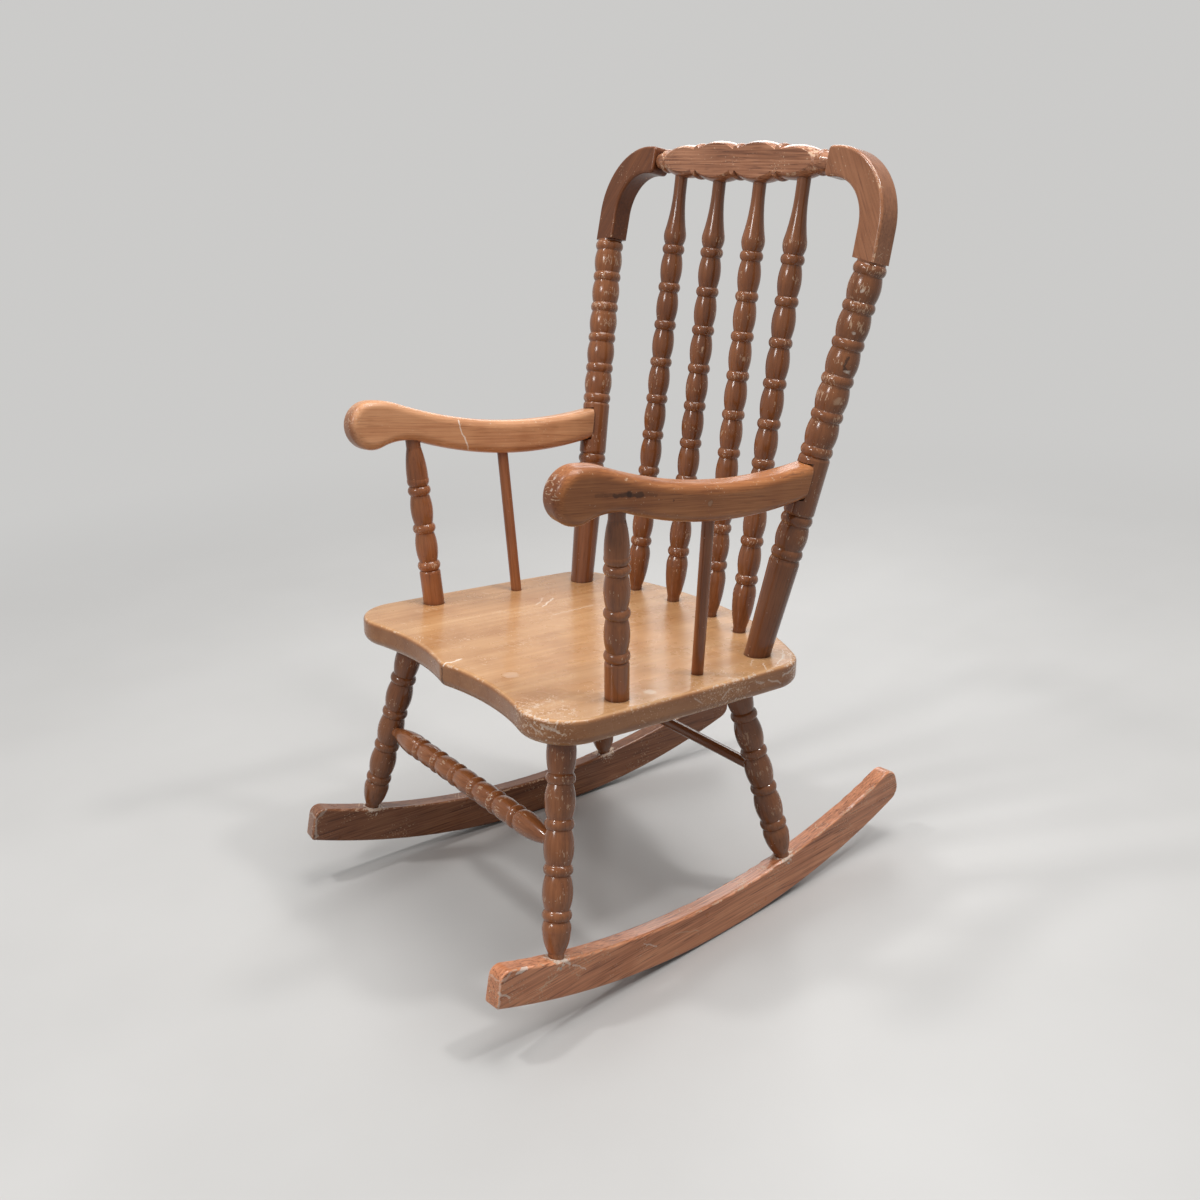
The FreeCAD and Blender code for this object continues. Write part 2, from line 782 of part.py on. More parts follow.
def post_body(name):
    half = s["post_bead_width"] / 2
    neck, plain = s["post_neck_radius"], s["post_plain_radius"]
    arm = as_size(joint_station(LEFT)) - s["post_arm_offset"]
    pitch = (post_length - s["post_top_margin"] - arm) / POST_BEADS_ABOVE_ARM
    below = [arm - pitch * i for i in range(POST_BEADS_BELOW_ARM, 0, -1)]
    above = [arm + pitch * i for i in range(1, POST_BEADS_ABOVE_ARM + 1)]
    shape = Turning(s["post_foot_radius"], -s["post_tenon_length"])
    shape.to(s["post_foot_radius"], half)
    shape.to(plain, below[0] - half * 2)
    shape.to(neck, below[0] - half, s["taper_swell"] / 4)
    shape.bobbins("post", below)
    shape.to(plain, below[-1] + half * 1.6, s["taper_swell"] / 4)
    shape.to(plain, above[0] - half * 1.6)
    shape.to(neck, above[0] - half, s["taper_swell"] / 4)
    shape.bobbins("post", above)
    shape.to(neck, post_length)
    shape.to(s["post_peg_radius"], post_length)
    shape.to(s["post_peg_radius"], post_length + s["post_peg_length"])
    return shape.solid(name)


for name, side in SIDES.items():
    post = post_body(f"back_post_{name}_body")
    post.Placement = post_place(side)
    finish(cut(post, [notch(side)] + screw_holes(side)), f"back_post_{name}")

screws = []
for side in SIDES.values():
    screw = doc.addObject("Part::Fuse", "Screw")
    screw.Base = drill(screw_place(side), s["screw_head_radius"], s["screw_head_height"])
    screw.Tool = drill(screw_place(side), s["screw_radius"], s["screw_length"])
    screws.append(screw)
arm_screws = doc.addObject("Part::Compound", "Screws")
arm_screws.Links = screws
finish(arm_screws, "arm_screws")

# Arm posts and plain arm rods, from the seat to the underside of the arms


def arm_post_line(side):
    foot = on_seat(side * n("arm_post_x"), n("arm_post_y"))
    return foot, arm_point(side, n("arm_post_head"))


def arm_dowel_line(side):
    foot = on_seat(side * n("arm_dowel_x"), n("arm_dowel_y"))
    return foot, arm_point(side, n("arm_dowel_head"))


def arm_post_body(name, length):
    first, pitch = s["arm_post_first_bead"], pitch_of("arm_post", length, ARM_POST_BEADS)
    half = s["arm_post_bead_width"] / 2
    neck = s["arm_post_neck_radius"]
    foot, head = s["arm_post_foot_radius"], s["arm_post_head_radius"]
    last = first + pitch * (ARM_POST_BEADS - 1)
    shape = Turning(foot, -s["arm_post_tenon_length"])
    shape.to(foot, first - half * 1.8)
    shape.to(neck, first - half, s["taper_swell"] / 2)
    shape.bobbins("arm_post", [first + pitch * i for i in range(ARM_POST_BEADS)])
    shape.to(foot, last + half * 2.6, s["taper_swell"])
    shape.to(head, as_size(length) - head, s["taper_swell"])
    shape.to(head, as_size(length) + s["arm_post_tenon_length"])
    return shape.solid(name)


for name, side in SIDES.items():
    foot, head = arm_post_line(side)
    turned = arm_post_body(f"arm_post_{name}_body", (head - foot).Length)
    turned.Placement = between(foot, head)
    finish(turned, f"arm_post_{name}")
    foot, head = arm_dowel_line(side)
    reach_in = n("arm_dowel_tenon_length")
    start = ahead(between(foot, head), -reach_in)
    rod = drill(start, s["arm_dowel_radius"], (head - foot).Length + reach_in * 2)
    finish(rod, f"arm_dowel_{name}")

for name, side in SIDES.items():
    tail = as_size((arm_rear - arm_origin).Length)
    corners = [
        (*neck_start, (neck_radius, -1)),
        (*neck_end, (belly_radius, 1)),
        (tail, arm_underside(tail), None),
        (tail, arm_top(tail), (top_radius_of_arm, -1)),
        (*crown_end, (crown_radius, 1)),
        (*paw_top, (paw_radius, 1)),
        (paw[0] - paw_radius, paw[1], (paw_radius, 1)),
    ]
    arm = board(f"arm_{name}_body", corners, s["arm_thickness"])
    rear = tail.number
    round_edges(arm, s["arm_edge_round"], lambda e: on_face(e) and e.BoundBox.XMin < rear - 1)
    arm.Placement = arm_place(side)
    foot, head = arm_post_line(side)
    post_socket = ahead(between(foot, head), (head - foot).Length / 2)
    post_depth = as_size((head - foot).Length / 2) + s["arm_post_tenon_length"]
    post_hole = socket(post_socket, s["arm_post_head_radius"], post_depth)
    foot, head = arm_dowel_line(side)
    rod_socket = ahead(between(foot, head), (head - foot).Length / 2)
    rod_depth = as_size((head - foot).Length / 2) + s["arm_dowel_tenon_length"]
    rod_hole = socket(rod_socket, s["arm_dowel_radius"], rod_depth)
    station = joint_station(side)
    behind = Vector(-BEYOND, notch_face.number, station - BEYOND)
    trim = slab(post_place(side), behind, Vector(BEYOND, BEYOND, station + BEYOND))
    finish(cut(arm, [post_hole, rod_hole, trim, screw_holes(side)[1]]), f"arm_{name}")

# Shoulder brackets: bent blocks in the plane of the post, from its top to the end of the crest


def bracket_place(side):
    """The bracket's own axes: X away from the middle, Y up along the lean of the back."""
    lean = math.degrees(math.atan2(post_rise[1].number, post_rise[2].number))
    tilt = Rotation(Vector(1, 0, 0), 90 - lean)
    flip = Rotation(Vector(0, 1, 0), 0 if side > 0 else 180)
    base = Vector(0, n("post_top_y"), n("post_top_height"))
    return seat_place.multiply(Placement(base, tilt.multiply(flip)))


bend_middle = (s["bracket_inner_radius"] + s["bracket_outer_radius"]) / 2
bend_x = s["post_top_x"] - s["bracket_shift"] - bend_middle
bend_y = s["bracket_foot_rise"]
crest_rise = bend_y + bend_middle


def bracket_body(name):
    slope = post_rise[0] / post_lean
    inner, outer = s["bracket_inner_radius"], s["bracket_outer_radius"]
    nose = s["crest_reach"]
    inside, outside = bend_x + inner, bend_x + outer
    corners = [
        (inside, slope * (s["post_top_x"] - inside), None),
        (outside, slope * (s["post_top_x"] - outside), None),
        (outside, bend_y, (outer, 1)),
        (bend_x, bend_y + outer, None),
        (nose, bend_y + outer, None),
        (nose, bend_y + inner, None),
        (bend_x, bend_y + inner, (inner, -1)),
        (inside, bend_y, None),
    ]
    body = board(name, corners, s["bracket_thickness"])
    foot = corners[0][1].number

    def nose_corner(edge):
        return across(edge) and edge.BoundBox.XMin < nose.number + 1e-3

    def long_edge(edge):
        return on_face(edge) and edge.BoundBox.YMax > foot + 1e-3

    round_edges(body, s["bracket_nose_round"], nose_corner)
    round_edges(body, s["bracket_edge_round"], long_edge)
    return body


def crest_dowel_place(side):
    """A hidden dowel, half in the crest and half in the bracket's nose."""
    start = n("crest_reach") - n("crest_dowel_length") / 2
    frame = bracket_place(side)
    ends = [frame.multVec(Vector(start + step, crest_rise.number, 0)) for step in (0, 1)]
    return between(*ends)


for name, side in SIDES.items():
    bracket = bracket_body(f"shoulder_bracket_{name}_body")
    bracket.Placement = bracket_place(side)
    peg = socket(post_place(side), s["post_peg_radius"], post_length + s["post_peg_length"])
    dowel = socket(crest_dowel_place(side), s["crest_dowel_radius"], s["crest_dowel_length"])
    finish(cut(bracket, [peg, dowel]), f"shoulder_bracket_{name}")

dowels = doc.addObject("Part::Compound", "Dowels")
dowels.Links = [
    drill(crest_dowel_place(side), s["crest_dowel_radius"], s["crest_dowel_length"])
    for side in SIDES.values()
]
finish(dowels, "crest_dowels")

# Crest rail: turned along its length, with the front and back planed flat


def crest_point(x):
    return bracket_place(LEFT).multVec(Vector(x, crest_rise.number, 0))


def crest_place():
    """The crest's own axes: Z to the left, X up along the lean of the back."""
    frame = bracket_place(LEFT).Rotation
    along, up = frame.multVec(Vector(1, 0, 0)), frame.multVec(Vector(0, 1, 0))
    return Placement(crest_point(0), Rotation(up, along.cross(up), along, "ZXY"))


half_bead = s["crest_bead_width"] / 2
cone_start = s["crest_reach"] - s["crest_cone"]
outer_end = cone_start - s["crest_end_bead"]
outer_start = outer_end - s["crest_outer_barrel"]
inner_end = outer_start - s["crest_bead_width"]
end_neck, neck = s["crest_end_neck"], s["crest_neck"]
turned = Turning(s["crest_end_radius"], -s["crest_reach"])
turned.to(end_neck, -cone_start)
turned.to(end_neck, -outer_end, s["crest_end_swell"])
turned.to(neck, -outer_start, s["crest_outer_swell"])
turned.to(neck, -inner_end, s["crest_bead_swell"])
turned.to(neck, -half_bead, s["crest_inner_swell"])
turned.to(neck, half_bead, s["crest_bead_swell"])
turned.to(neck, inner_end, s["crest_inner_swell"])
turned.to(neck, outer_start, s["crest_bead_swell"])
turned.to(end_neck, outer_end, s["crest_outer_swell"])
turned.to(end_neck, cone_start, s["crest_end_swell"])
turned.to(s["crest_end_radius"], s["crest_reach"])
crest = turned.solid("crest_rail_body")
crest.Placement = crest_place()
flats = slab(
    crest_place(),
    Vector(-BEYOND, -n("crest_thickness") / 2, -n("crest_reach")),
    Vector(BEYOND, n("crest_thickness") / 2, n("crest_reach")),
)
planed = doc.addObject("Part::Common", "Planed")
planed.Base = crest
planed.Tool = flats

# Spindles: four turnings from the rear of the seat to the crest


def spindle_line(kind, side):
    foot = on_seat(side * n(f"spindle_{kind}_x"), n(f"spindle_{kind}_y"))
    head = crest_point(side * n(f"spindle_{kind}_head_x"))
    return foot, head


def spindle_body(name, length):
    first, pitch = s["spindle_first_bead"], pitch_of("spindle", length, SPINDLE_BEADS)
    half = s["spindle_bead_width"] / 2
    end, neck, belly = s["spindle_end_radius"], s["spindle_neck_radius"], s["spindle_vase_radius"]
    last = first + pitch * (SPINDLE_BEADS - 1)
    shape = Turning(end, -s["spindle_tenon_length"])
    shape.to(end, half)
    shape.to(belly, first - half * 4, s["taper_swell"])
    shape.to(neck, first - half, s["taper_swell"])
    shape.bobbins("spindle", [first + pitch * i for i in range(SPINDLE_BEADS)])
    shape.to(belly, last + half * 3.5, s["taper_swell"])
    shape.to(end, as_size(length) - s["crest_neck"] - half * 2, s["taper_swell"] * 1.4, -1)
    shape.to(end, as_size(length) - s["spindle_head_gap"])
    return shape.solid(name)


SPINDLES = [("outer", RIGHT), ("inner", RIGHT), ("inner", LEFT), ("outer", LEFT)]
spindle_sockets = []
for number, (kind, side) in enumerate(SPINDLES, start=1):
    foot, head = spindle_line(kind, side)
    length = (head - foot).Length
    spindle = spindle_body(f"spindle_{number}_body", length)
    spindle.Placement = between(foot, head)
    finish(spindle, f"spindle_{number}")
    start = ahead(between(foot, head), length / 2)
    depth = as_size(length / 2) - s["spindle_head_gap"]
    spindle_sockets.append(socket(start, s["spindle_end_radius"], depth))

crest_sockets = [
    socket(crest_dowel_place(side), s["crest_dowel_radius"], s["crest_dowel_length"])
    for side in SIDES.values()
]
for hole in crest_sockets:
    hole.Placement = ahead(hole.Placement, -n("socket_slack"))
finish(cut(planed, spindle_sockets + crest_sockets), "crest_rail")

# Seat: a solid board with a double-bowed front edge, drilled for everything that stands on it or under it

half_width = s["seat_width"] / 2
bow_half, bow_depth, tip = s["bow_span"] / 2, s["bow_depth"], s["bow_tip_radius"]
bow_radius = (bow_half * bow_half + bow_depth * bow_depth) / (bow_depth * 2)
bow_centre = (bow_half, bow_depth - s["seat_front"] - bow_radius)
bow_sine, bow_cosine = bow_half / bow_radius, (bow_radius - bow_depth) / bow_radius
tip_reach = bow_radius + tip
tip_centre = (as_size(0), bow_centre[1] + root(tip_reach * tip_reach - bow_half * bow_half))
tip_end = spread(bow_centre, tip_centre, bow_radius / tip_reach)
corner_radius = (half_width - s["bow_span"]) / (1 + bow_sine)
corner_end = (half_width, corner_radius * bow_cosine - s["seat_front"])
taper, side_run = s["seat_taper"], s["seat_side_end"] - corner_end[1]
side_radius = (taper * taper + side_run * side_run) / (taper * 2)
side_end = (half_width - taper, s["seat_side_end"])
rear_radius = s["seat_rear_corner"]
rear_x = side_end[0] - rear_radius * (side_radius - taper) / side_radius
rear_y = side_end[1] - rear_radius * side_run / side_radius
rear_drop = s["seat_back"] - rear_y
rear_spans = rear_x * rear_x + rear_drop * rear_drop - rear_radius * rear_radius
back_radius = rear_spans / ((rear_drop - rear_radius) * 2)
back_centre = (as_size(0), s["seat_back"] - back_radius)
back_end = spread(back_centre, (rear_x, rear_y), back_radius / (back_radius - rear_radius))


def left_of(point):
    return -point[0], point[1]


front_corner = (s["bow_span"], -s["seat_front"])
outline = [
    (*tip_end, (bow_radius, -1)),
    (*front_corner, (corner_radius, 1)),
    (*corner_end, (side_radius, 1)),
    (*side_end, (rear_radius, 1)),
    (*back_end, (back_radius, 1)),
    (*left_of(back_end), (rear_radius, 1)),
    (*left_of(side_end), (side_radius, 1)),
    (*left_of(corner_end), (corner_radius, 1)),
    (*left_of(front_corner), (bow_radius, -1)),
    (*left_of(tip_end), (tip, 1)),
]
seat = board("seat_body", outline, s["seat_thickness"])


def on_top(edge):
    return on_face(edge) and edge.BoundBox.ZMin > 0


def underneath(edge):
    return on_face(edge) and edge.BoundBox.ZMin < -n("seat_thickness") / 3


round_edges(seat, s["seat_top_round"], on_top)
round_edges(seat, s["seat_under_round"], underneath)
seat.Placement = seat_place.multiply(Placement(Vector(0, 0, -n("seat_thickness") / 2), Rotation()))


def seat_socket(place, radius, depth):
    """Drills down into the seat for a piece that stands on it, from above the surface."""
    deep = depth + s["socket_slack"]
    return drill(ahead(place, -deep.number), radius + s["glue_gap"], deep * 2)


sockets = []
for side in SIDES.values():
    sockets.append(seat_socket(post_place(side), s["post_foot_radius"], s["post_tenon_length"]))
    line = between(*arm_post_line(side))
    sockets.append(seat_socket(line, s["arm_post_foot_radius"], s["arm_post_tenon_length"]))
    line = between(*arm_dowel_line(side))
    sockets.append(seat_socket(line, s["arm_dowel_radius"], s["arm_dowel_tenon_length"]))
    for kind in ("outer", "inner"):
        line = between(*spindle_line(kind, side))
        sockets.append(seat_socket(line, s["spindle_end_radius"], s["spindle_tenon_length"]))
    for end in ENDS:
        place, length = leg_line(end, side)
        depth = s["leg_tenon_length"] + s["leg_tenon_radius"]
        sockets.append(socket(ahead(place, length - n("leg_tenon_radius")), s["leg_tenon_radius"], depth))
finish(cut(seat, sockets), "seat")

# Every object has to be sound before anything is written.
doc.recompute()
faults = [o.Name for o in doc.Objects if {"Invalid", "Error"} & set(o.State)]
for piece in finished:
    if piece.Shape.isNull() or not piece.Shape.isValid() or not piece.Shape.Solids:
        faults.append(piece.Label)
if faults:
    raise RuntimeError("These objects are not sound: " + ", ".join(faults))

os.makedirs("parts", exist_ok=True)
for piece in finished:
    piece.Shape.exportStep(f"parts/{piece.Label}.step")
print(f"{len(finished)} sub-parts written")
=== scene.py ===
import math
from collections import namedtuple

import bpy
from mathutils import Matrix, Vector


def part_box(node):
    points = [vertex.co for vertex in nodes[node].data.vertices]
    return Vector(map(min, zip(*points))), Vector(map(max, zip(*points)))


# Looks of a bobbin-turned child's rocker: varnished, worn wood with grain along each piece that shows.
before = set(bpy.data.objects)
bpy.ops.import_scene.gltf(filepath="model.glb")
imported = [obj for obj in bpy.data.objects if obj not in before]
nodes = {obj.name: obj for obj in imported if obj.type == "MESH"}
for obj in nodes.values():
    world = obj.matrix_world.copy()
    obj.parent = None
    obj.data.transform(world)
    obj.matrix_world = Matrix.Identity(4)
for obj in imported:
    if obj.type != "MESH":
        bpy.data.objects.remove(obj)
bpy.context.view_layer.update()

# How the chair stands. SEAT_CENTRE is in metres. Other lengths here and the points of worn places and
# marks are in millimetres, and MM turns them into metres.
MM = 0.001
SEAT_CENTRE = (0, -0.059, 0.2755)
SEAT_FALL = math.radians(-5.05)
SEAT = Matrix.Translation(SEAT_CENTRE) @ Matrix.Rotation(SEAT_FALL, 4, "X")
TOE_IN = math.radians(4.9)
ROCKER_SPREAD = 160
ROCKER_MIDDLE_HEIGHT = 20
ARM_LEAN = math.radians(6.5)
BRACKET_LEAN = math.radians(10.4)
SIDES = {"left": 1, "right": -1}
SPINDLES = 4
END_SLICES = (6, 3, 1, 0.3)


def on_seat(x, y, z=0.0):
    """A point given in millimetres in the seat's axes, whose top face falls to the rear."""
    return SEAT @ (Vector((x, y, z)) * MM)


def on_floor(x, y, z):
    """A point given in millimetres in the axes of the whole chair."""
    return Vector((x, y, z)) * MM


def seat_way(x, y, z):
    """A direction given in the seat's axes."""
    return (SEAT.to_3x3() @ Vector((x, y, z))).normalized()


def grain_place(start, end, side=None):
    """A frame at start whose Z runs along the grain and whose X, if given, points to one side."""
    z = (end - start).normalized()
    lies_across = abs(z.x) >= 0.9
    if side is None:
        side = Vector((0, 1, 0)) if lies_across else Vector((1, 0, 0))
    y = z.cross(side).normalized()
    x = y.cross(z)
    return Matrix.Translation(start) @ Matrix((x, y, z)).transposed().to_4x4()


def axis_of(node):
    """Both ends of a turned piece's axis: the middles of its ends, in thinner and thinner slices."""
    corners = {tuple(round(c, 6) for c in vertex.co) for vertex in nodes[node].data.vertices}
    points = [Vector(corner) for corner in corners]
    low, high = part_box(node)
    along = Vector((1, 0, 0)) if high.x - low.x > high.z - low.z else Vector((0, 0, 1))
    for thickness in END_SLICES:
        reach = [point.dot(along) for point in points]
        first, last = min(reach), max(reach)
        start = [point for point, r in zip(points, reach) if r < first + thickness * MM]
        end = [point for point, r in zip(points, reach) if r > last - thickness * MM]
        start = sum(start, Vector()) / len(start)
        end = sum(end, Vector()) / len(end)
        along = (end - start).normalized()
    return start, end


# Directions that faces and marks look
UP = seat_way(0, 0, 1)
FRONT = seat_way(0, -1, 0)
LEFT = Vector((1, 0, 0))
NEAR_CORNER = seat_way(0.6, -0.8, 0)
BRACKET_FRONT = seat_way(0, -math.cos(BRACKET_LEAN), math.sin(BRACKET_LEAN))

# A look: the grain's dark, middle and light tone, how streaky it is, how dark its pores are and how many
# lie across a metre, how chipped, rubbed and scratched it is, and the varnish's roughness and clear coat.
# The pale rubbing of the edges is partly wear and partly painted highlight.
Look = namedtuple("Look", "tones streak pores grit wear rub gloss hairs coat")
# A worn place has many chips within its radius, which is in metres. A mark is one scratch, chip or stain,
# on the side that faces its way.
Scuff = namedtuple("Scuff", "centre radius strength")
Mark = namedtuple("Mark", "start end width toward tone strength")

BARE = (0.66, 0.45, 0.30, 1)
WHITE = (0.88, 0.78, 0.68, 1)
DARK = (0.045, 0.018, 0.009, 1)


def line(points, width, toward, tone, strength):
    """Marks along a line of points, with a width in millimetres."""
    return [Mark(a, b, width * MM, toward, tone, strength) for a, b in zip(points, points[1:])]


def spot(point, radius, toward, tone, strength):
    """A round mark, with a radius in millimetres."""
    return Mark(point, point, radius * MM, toward, tone, strength)


# The solid share of a worn place and of a mark, how far a face must look a mark's way to show it, and the
# length in millimetres from which a mark is a line and not a spot
SCUFF_CORE = 0.35
STROKE_CORE = 0.45
FACING = (0.1, 0.4)
SHORTEST_RUN = 0.1


class Graph:
    """Adds shader nodes to a material, with values or links on their inputs."""

    def __init__(self, name):
        self.material = bpy.data.materials.new(name)
        self.material.use_nodes = True
        self.tree = self.material.node_tree
        self.shader = self.tree.nodes["Principled BSDF"]
        self.output = self.tree.nodes["Material Output"]

    def add(self, kind, values=None, **settings):
        node = self.tree.nodes.new("ShaderNode" + kind)
        for key, value in settings.items():
            setattr(node, key, value)
        for key, value in (values or {}).items():
            self.put(node.inputs[key], value)
        return node

    def put(self, socket, value):
        if isinstance(value, bpy.types.NodeSocket):
            self.tree.links.new(value, socket)
        else:
            socket.default_value = value

    def math(self, operation, a, b=0.0):
        return self.add("Math", {0: a, 1: b}, operation=operation).outputs[0]

    def linear(self, value, share, base):
        """The value times its share, on top of a base."""
        return self.math("ADD", self.math("MULTIPLY", value, share), base)

    def total(self, *parts):
        """The sum of values, each times its share."""
        result = self.math("MULTIPLY", *parts[0])
        for value, share in parts[1:]:
            result = self.math("ADD", result, self.math("MULTIPLY", value, share))
        return result

    def vector(self, operation, a, b):
        return self.add("VectorMath", {0: a, 1: b}, operation=operation).outputs[0]

    def scaled(self, vector, share):
        return self.add("VectorMath", {0: vector, "Scale": share}, operation="SCALE").outputs[0]

    def measure(self, operation, a, b=(0, 0, 0)):
        return self.add("VectorMath", {0: a, 1: b}, operation=operation).outputs["Value"]

    def noise_node(self, vector, scale=1.0, detail=2.0, distortion=0.0, rough=0.5):
        values = {"Vector": vector, "Scale": scale, "Detail": detail, "Roughness": rough}
        values["Distortion"] = distortion
        return self.add("TexNoise", values)

    def noise(self, vector, **settings):
        return self.noise_node(vector, **settings).outputs[0]

    def along(self, vector, across, lengthwise, **settings):
        """Noise stretched along the grain, with so many features a metre across it and along it."""
        return self.noise(self.vector("MULTIPLY", vector, (across, across, lengthwise)), **settings)

    def step(self, value, low, high):
        """Goes smoothly from 0 at low to 1 at high."""
        return self.add("MapRange", {0: value, 1: low, 2: high}, interpolation_type="SMOOTHSTEP").outputs[0]

    def mix(self, share, a, b, blend="MIX"):
        node = self.add("Mix", data_type="RGBA", blend_type=blend)
        self.put(node.inputs[0], share)
        self.put(node.inputs[6], a)
        self.put(node.inputs[7], b)
        return node.outputs[2]

    def tint(self, share, colour, factor):
        """The colour, multiplied by a factor where share is 1."""
        return self.mix(share, colour, (*factor, 1), "MULTIPLY")

    def ramp(self, value, stops):
        node = self.add("ValToRGB", {0: value})
        elements = node.color_ramp.elements
        while len(elements) < len(stops):
            elements.new(0.5)
        for element, (place, colour) in zip(elements, stops):
            element.position = place
            element.color = (*colour, 1)
        return node.outputs[0]

    def near(self, point, scuff):
        """1 at the centre of a worn place, falling to 0 at its radius."""
        gap = self.measure("DISTANCE", point, scuff.centre)
        return self.step(gap, scuff.radius, scuff.radius * SCUFF_CORE)

    def stroke(self, point, normal, mark):
        """1 on a mark that runs from start to end on the side it faces, 0 beside it."""
        gap = self.vector("SUBTRACT", point, mark.start)
        depth = self.measure("DOT_PRODUCT", gap, mark.toward)
        gap = self.vector("SUBTRACT", gap, self.scaled(mark.toward, depth))
        run = mark.end - mark.start
        run = run - mark.toward * run.dot(mark.toward)
        if run.length > SHORTEST_RUN * MM:
            share = self.measure("DOT_PRODUCT", gap, run / run.length_squared)
            share = self.math("MAXIMUM", self.math("MINIMUM", share, 1.0), 0.0)
            gap = self.vector("SUBTRACT", gap, self.scaled(run, share))
        beside = self.step(self.measure("LENGTH", gap), mark.width, mark.width * STROKE_CORE)
        facing = self.step(self.measure("DOT_PRODUCT", normal, mark.toward), *FACING)
        return self.math("MULTIPLY", beside, facing)


# Grain: features in a metre across it and along it, the levels of noise that show, and tints. A piece's
# seed moves its grain along SEED_WAY, and a streaky look shifts the shares of figure, bands and fibre.
SEED_WAY = (1, 1.7, 0.6)
FIGURE = (34, 2.4)
BANDS = (150, 5.0)
FIBRE = (620, 15)
PORE_STRETCH = 0.05
PORE_LEVELS = (0.59, 0.69)
PORE_TINT = (0.50, 0.42, 0.38)
GRAIN_SHARES = (0.55, 0.30, 0.15)
STREAK_SHIFTS = (-0.5, -0.1, 0.6)
TONE_LEVELS = (0.37, 0.5, 0.63)
CLOUDS = 24.0
CLOUD_LEVELS = (0.40, 0.75)
CLOUD_TINT = (0.86, 0.80, 0.75)
# Painted shade in hollows: how far the ambient occlusion reaches, its levels and its darkening tint
CREVICE_SHADE_REACH = 0.010
CREVICE_SHADE_LEVELS = (0.80, 0.30)
CREVICE_SHADE_TINT = (0.34, 0.26, 0.22)

# A board's edges: how faces lean where its rounding, its narrow sides and its end grain show
EDGE_START = (0.25, 0.6)
EDGE_END = (0.985, 0.85)
# The narrow sides' darker tint is partly their own tone and partly painted shade
RIM_LEAN = (0.97, 0.45)
END_LEAN = (0.3, 0.95)
END_TINT = (0.60, 0.52, 0.50)

# A turning's crests: the lean of a bead's shoulders, and millimetres below the crest
SHOULDER_LEAN = (0.08, 0.30)
SHOULDER_DEPTH = (2.6, 1.2)
SHOULDER_SHARE = 0.9
CREST_DEPTH = (1.0, 0.1)

# Chips and rubbing, on edges and in worn places; the pale rubbing is partly wear and partly painted
# highlight
BOARD_FLAKES = 330.0
BOARD_CHIP_SHARE = 0.8
# Turned flakes are stretched along the axis: partly chipped varnish, partly painted reflection streaks
TURNED_FLAKES_AND_GLINTS = (620, 170)
TURNED_CHIP_SHARE = 0.62
FLAKE_ROUGHNESS = 0.6
WEAR_PATCHES = 42.0
WEAR_LEVELS = (0.42, 0.60)
PATCHY_SHARE = 0.75
SCUFF_EDGE_SHARE = 0.3
CHIP_LIMIT = 0.80
CHIP_REACH = 0.12
WEAR_REACH = 0.22
CHIP_SOFTNESS = (-0.008, 0.012)
SCUFF_RUB_AND_HIGHLIGHT = 0.4
# The pale tint of rubbed edges: partly wear, partly painted highlight
RUB_AND_HIGHLIGHT_TINT = (1.55, 1.65, 1.75)
SCUFF_PALENESS = 0.6

# Short thin straight scratches that lie in two directions, and ragged outlines of marks
SCRATCHES = (620, 24)
SCRATCH_TURNS = ((0.5, 0.9, 0.3), (-0.4, -1.1, 1.9))
SCRATCH_PATCHES = 30.0
SCRATCH_LEVELS = (0.45, 0.65)
SCRATCH_LIMIT = 0.88
SCRATCH_REACH = 0.20
SCRATCH_SOFTNESS = (-0.02, 0.02)
SCRATCH_SHARE = 0.65
RAGGED_SCALE = 150.0
RAGGED_REACH = 0.0055
NOISE_MIDDLE = (0.5, 0.5, 0.5)

# Varnish: its roughness, clear coat and relief
SMEARS = 55.0
SMEAR_ROUGHNESS = 0.16
DULL_ROUGHNESS = 0.35
SCRATCH_DULLNESS = 0.6
SPECULAR = 0.35
COAT_ROUGHNESS = 0.13
SAGS = 160.0
SAG_HEIGHT = 0.5
FIBRE_HEIGHT = 0.22
PORE_HEIGHT = -0.30
DENT_HEIGHT = -1.0
BUMP_STRENGTH = 0.20
BUMP_DISTANCE = 0.0006


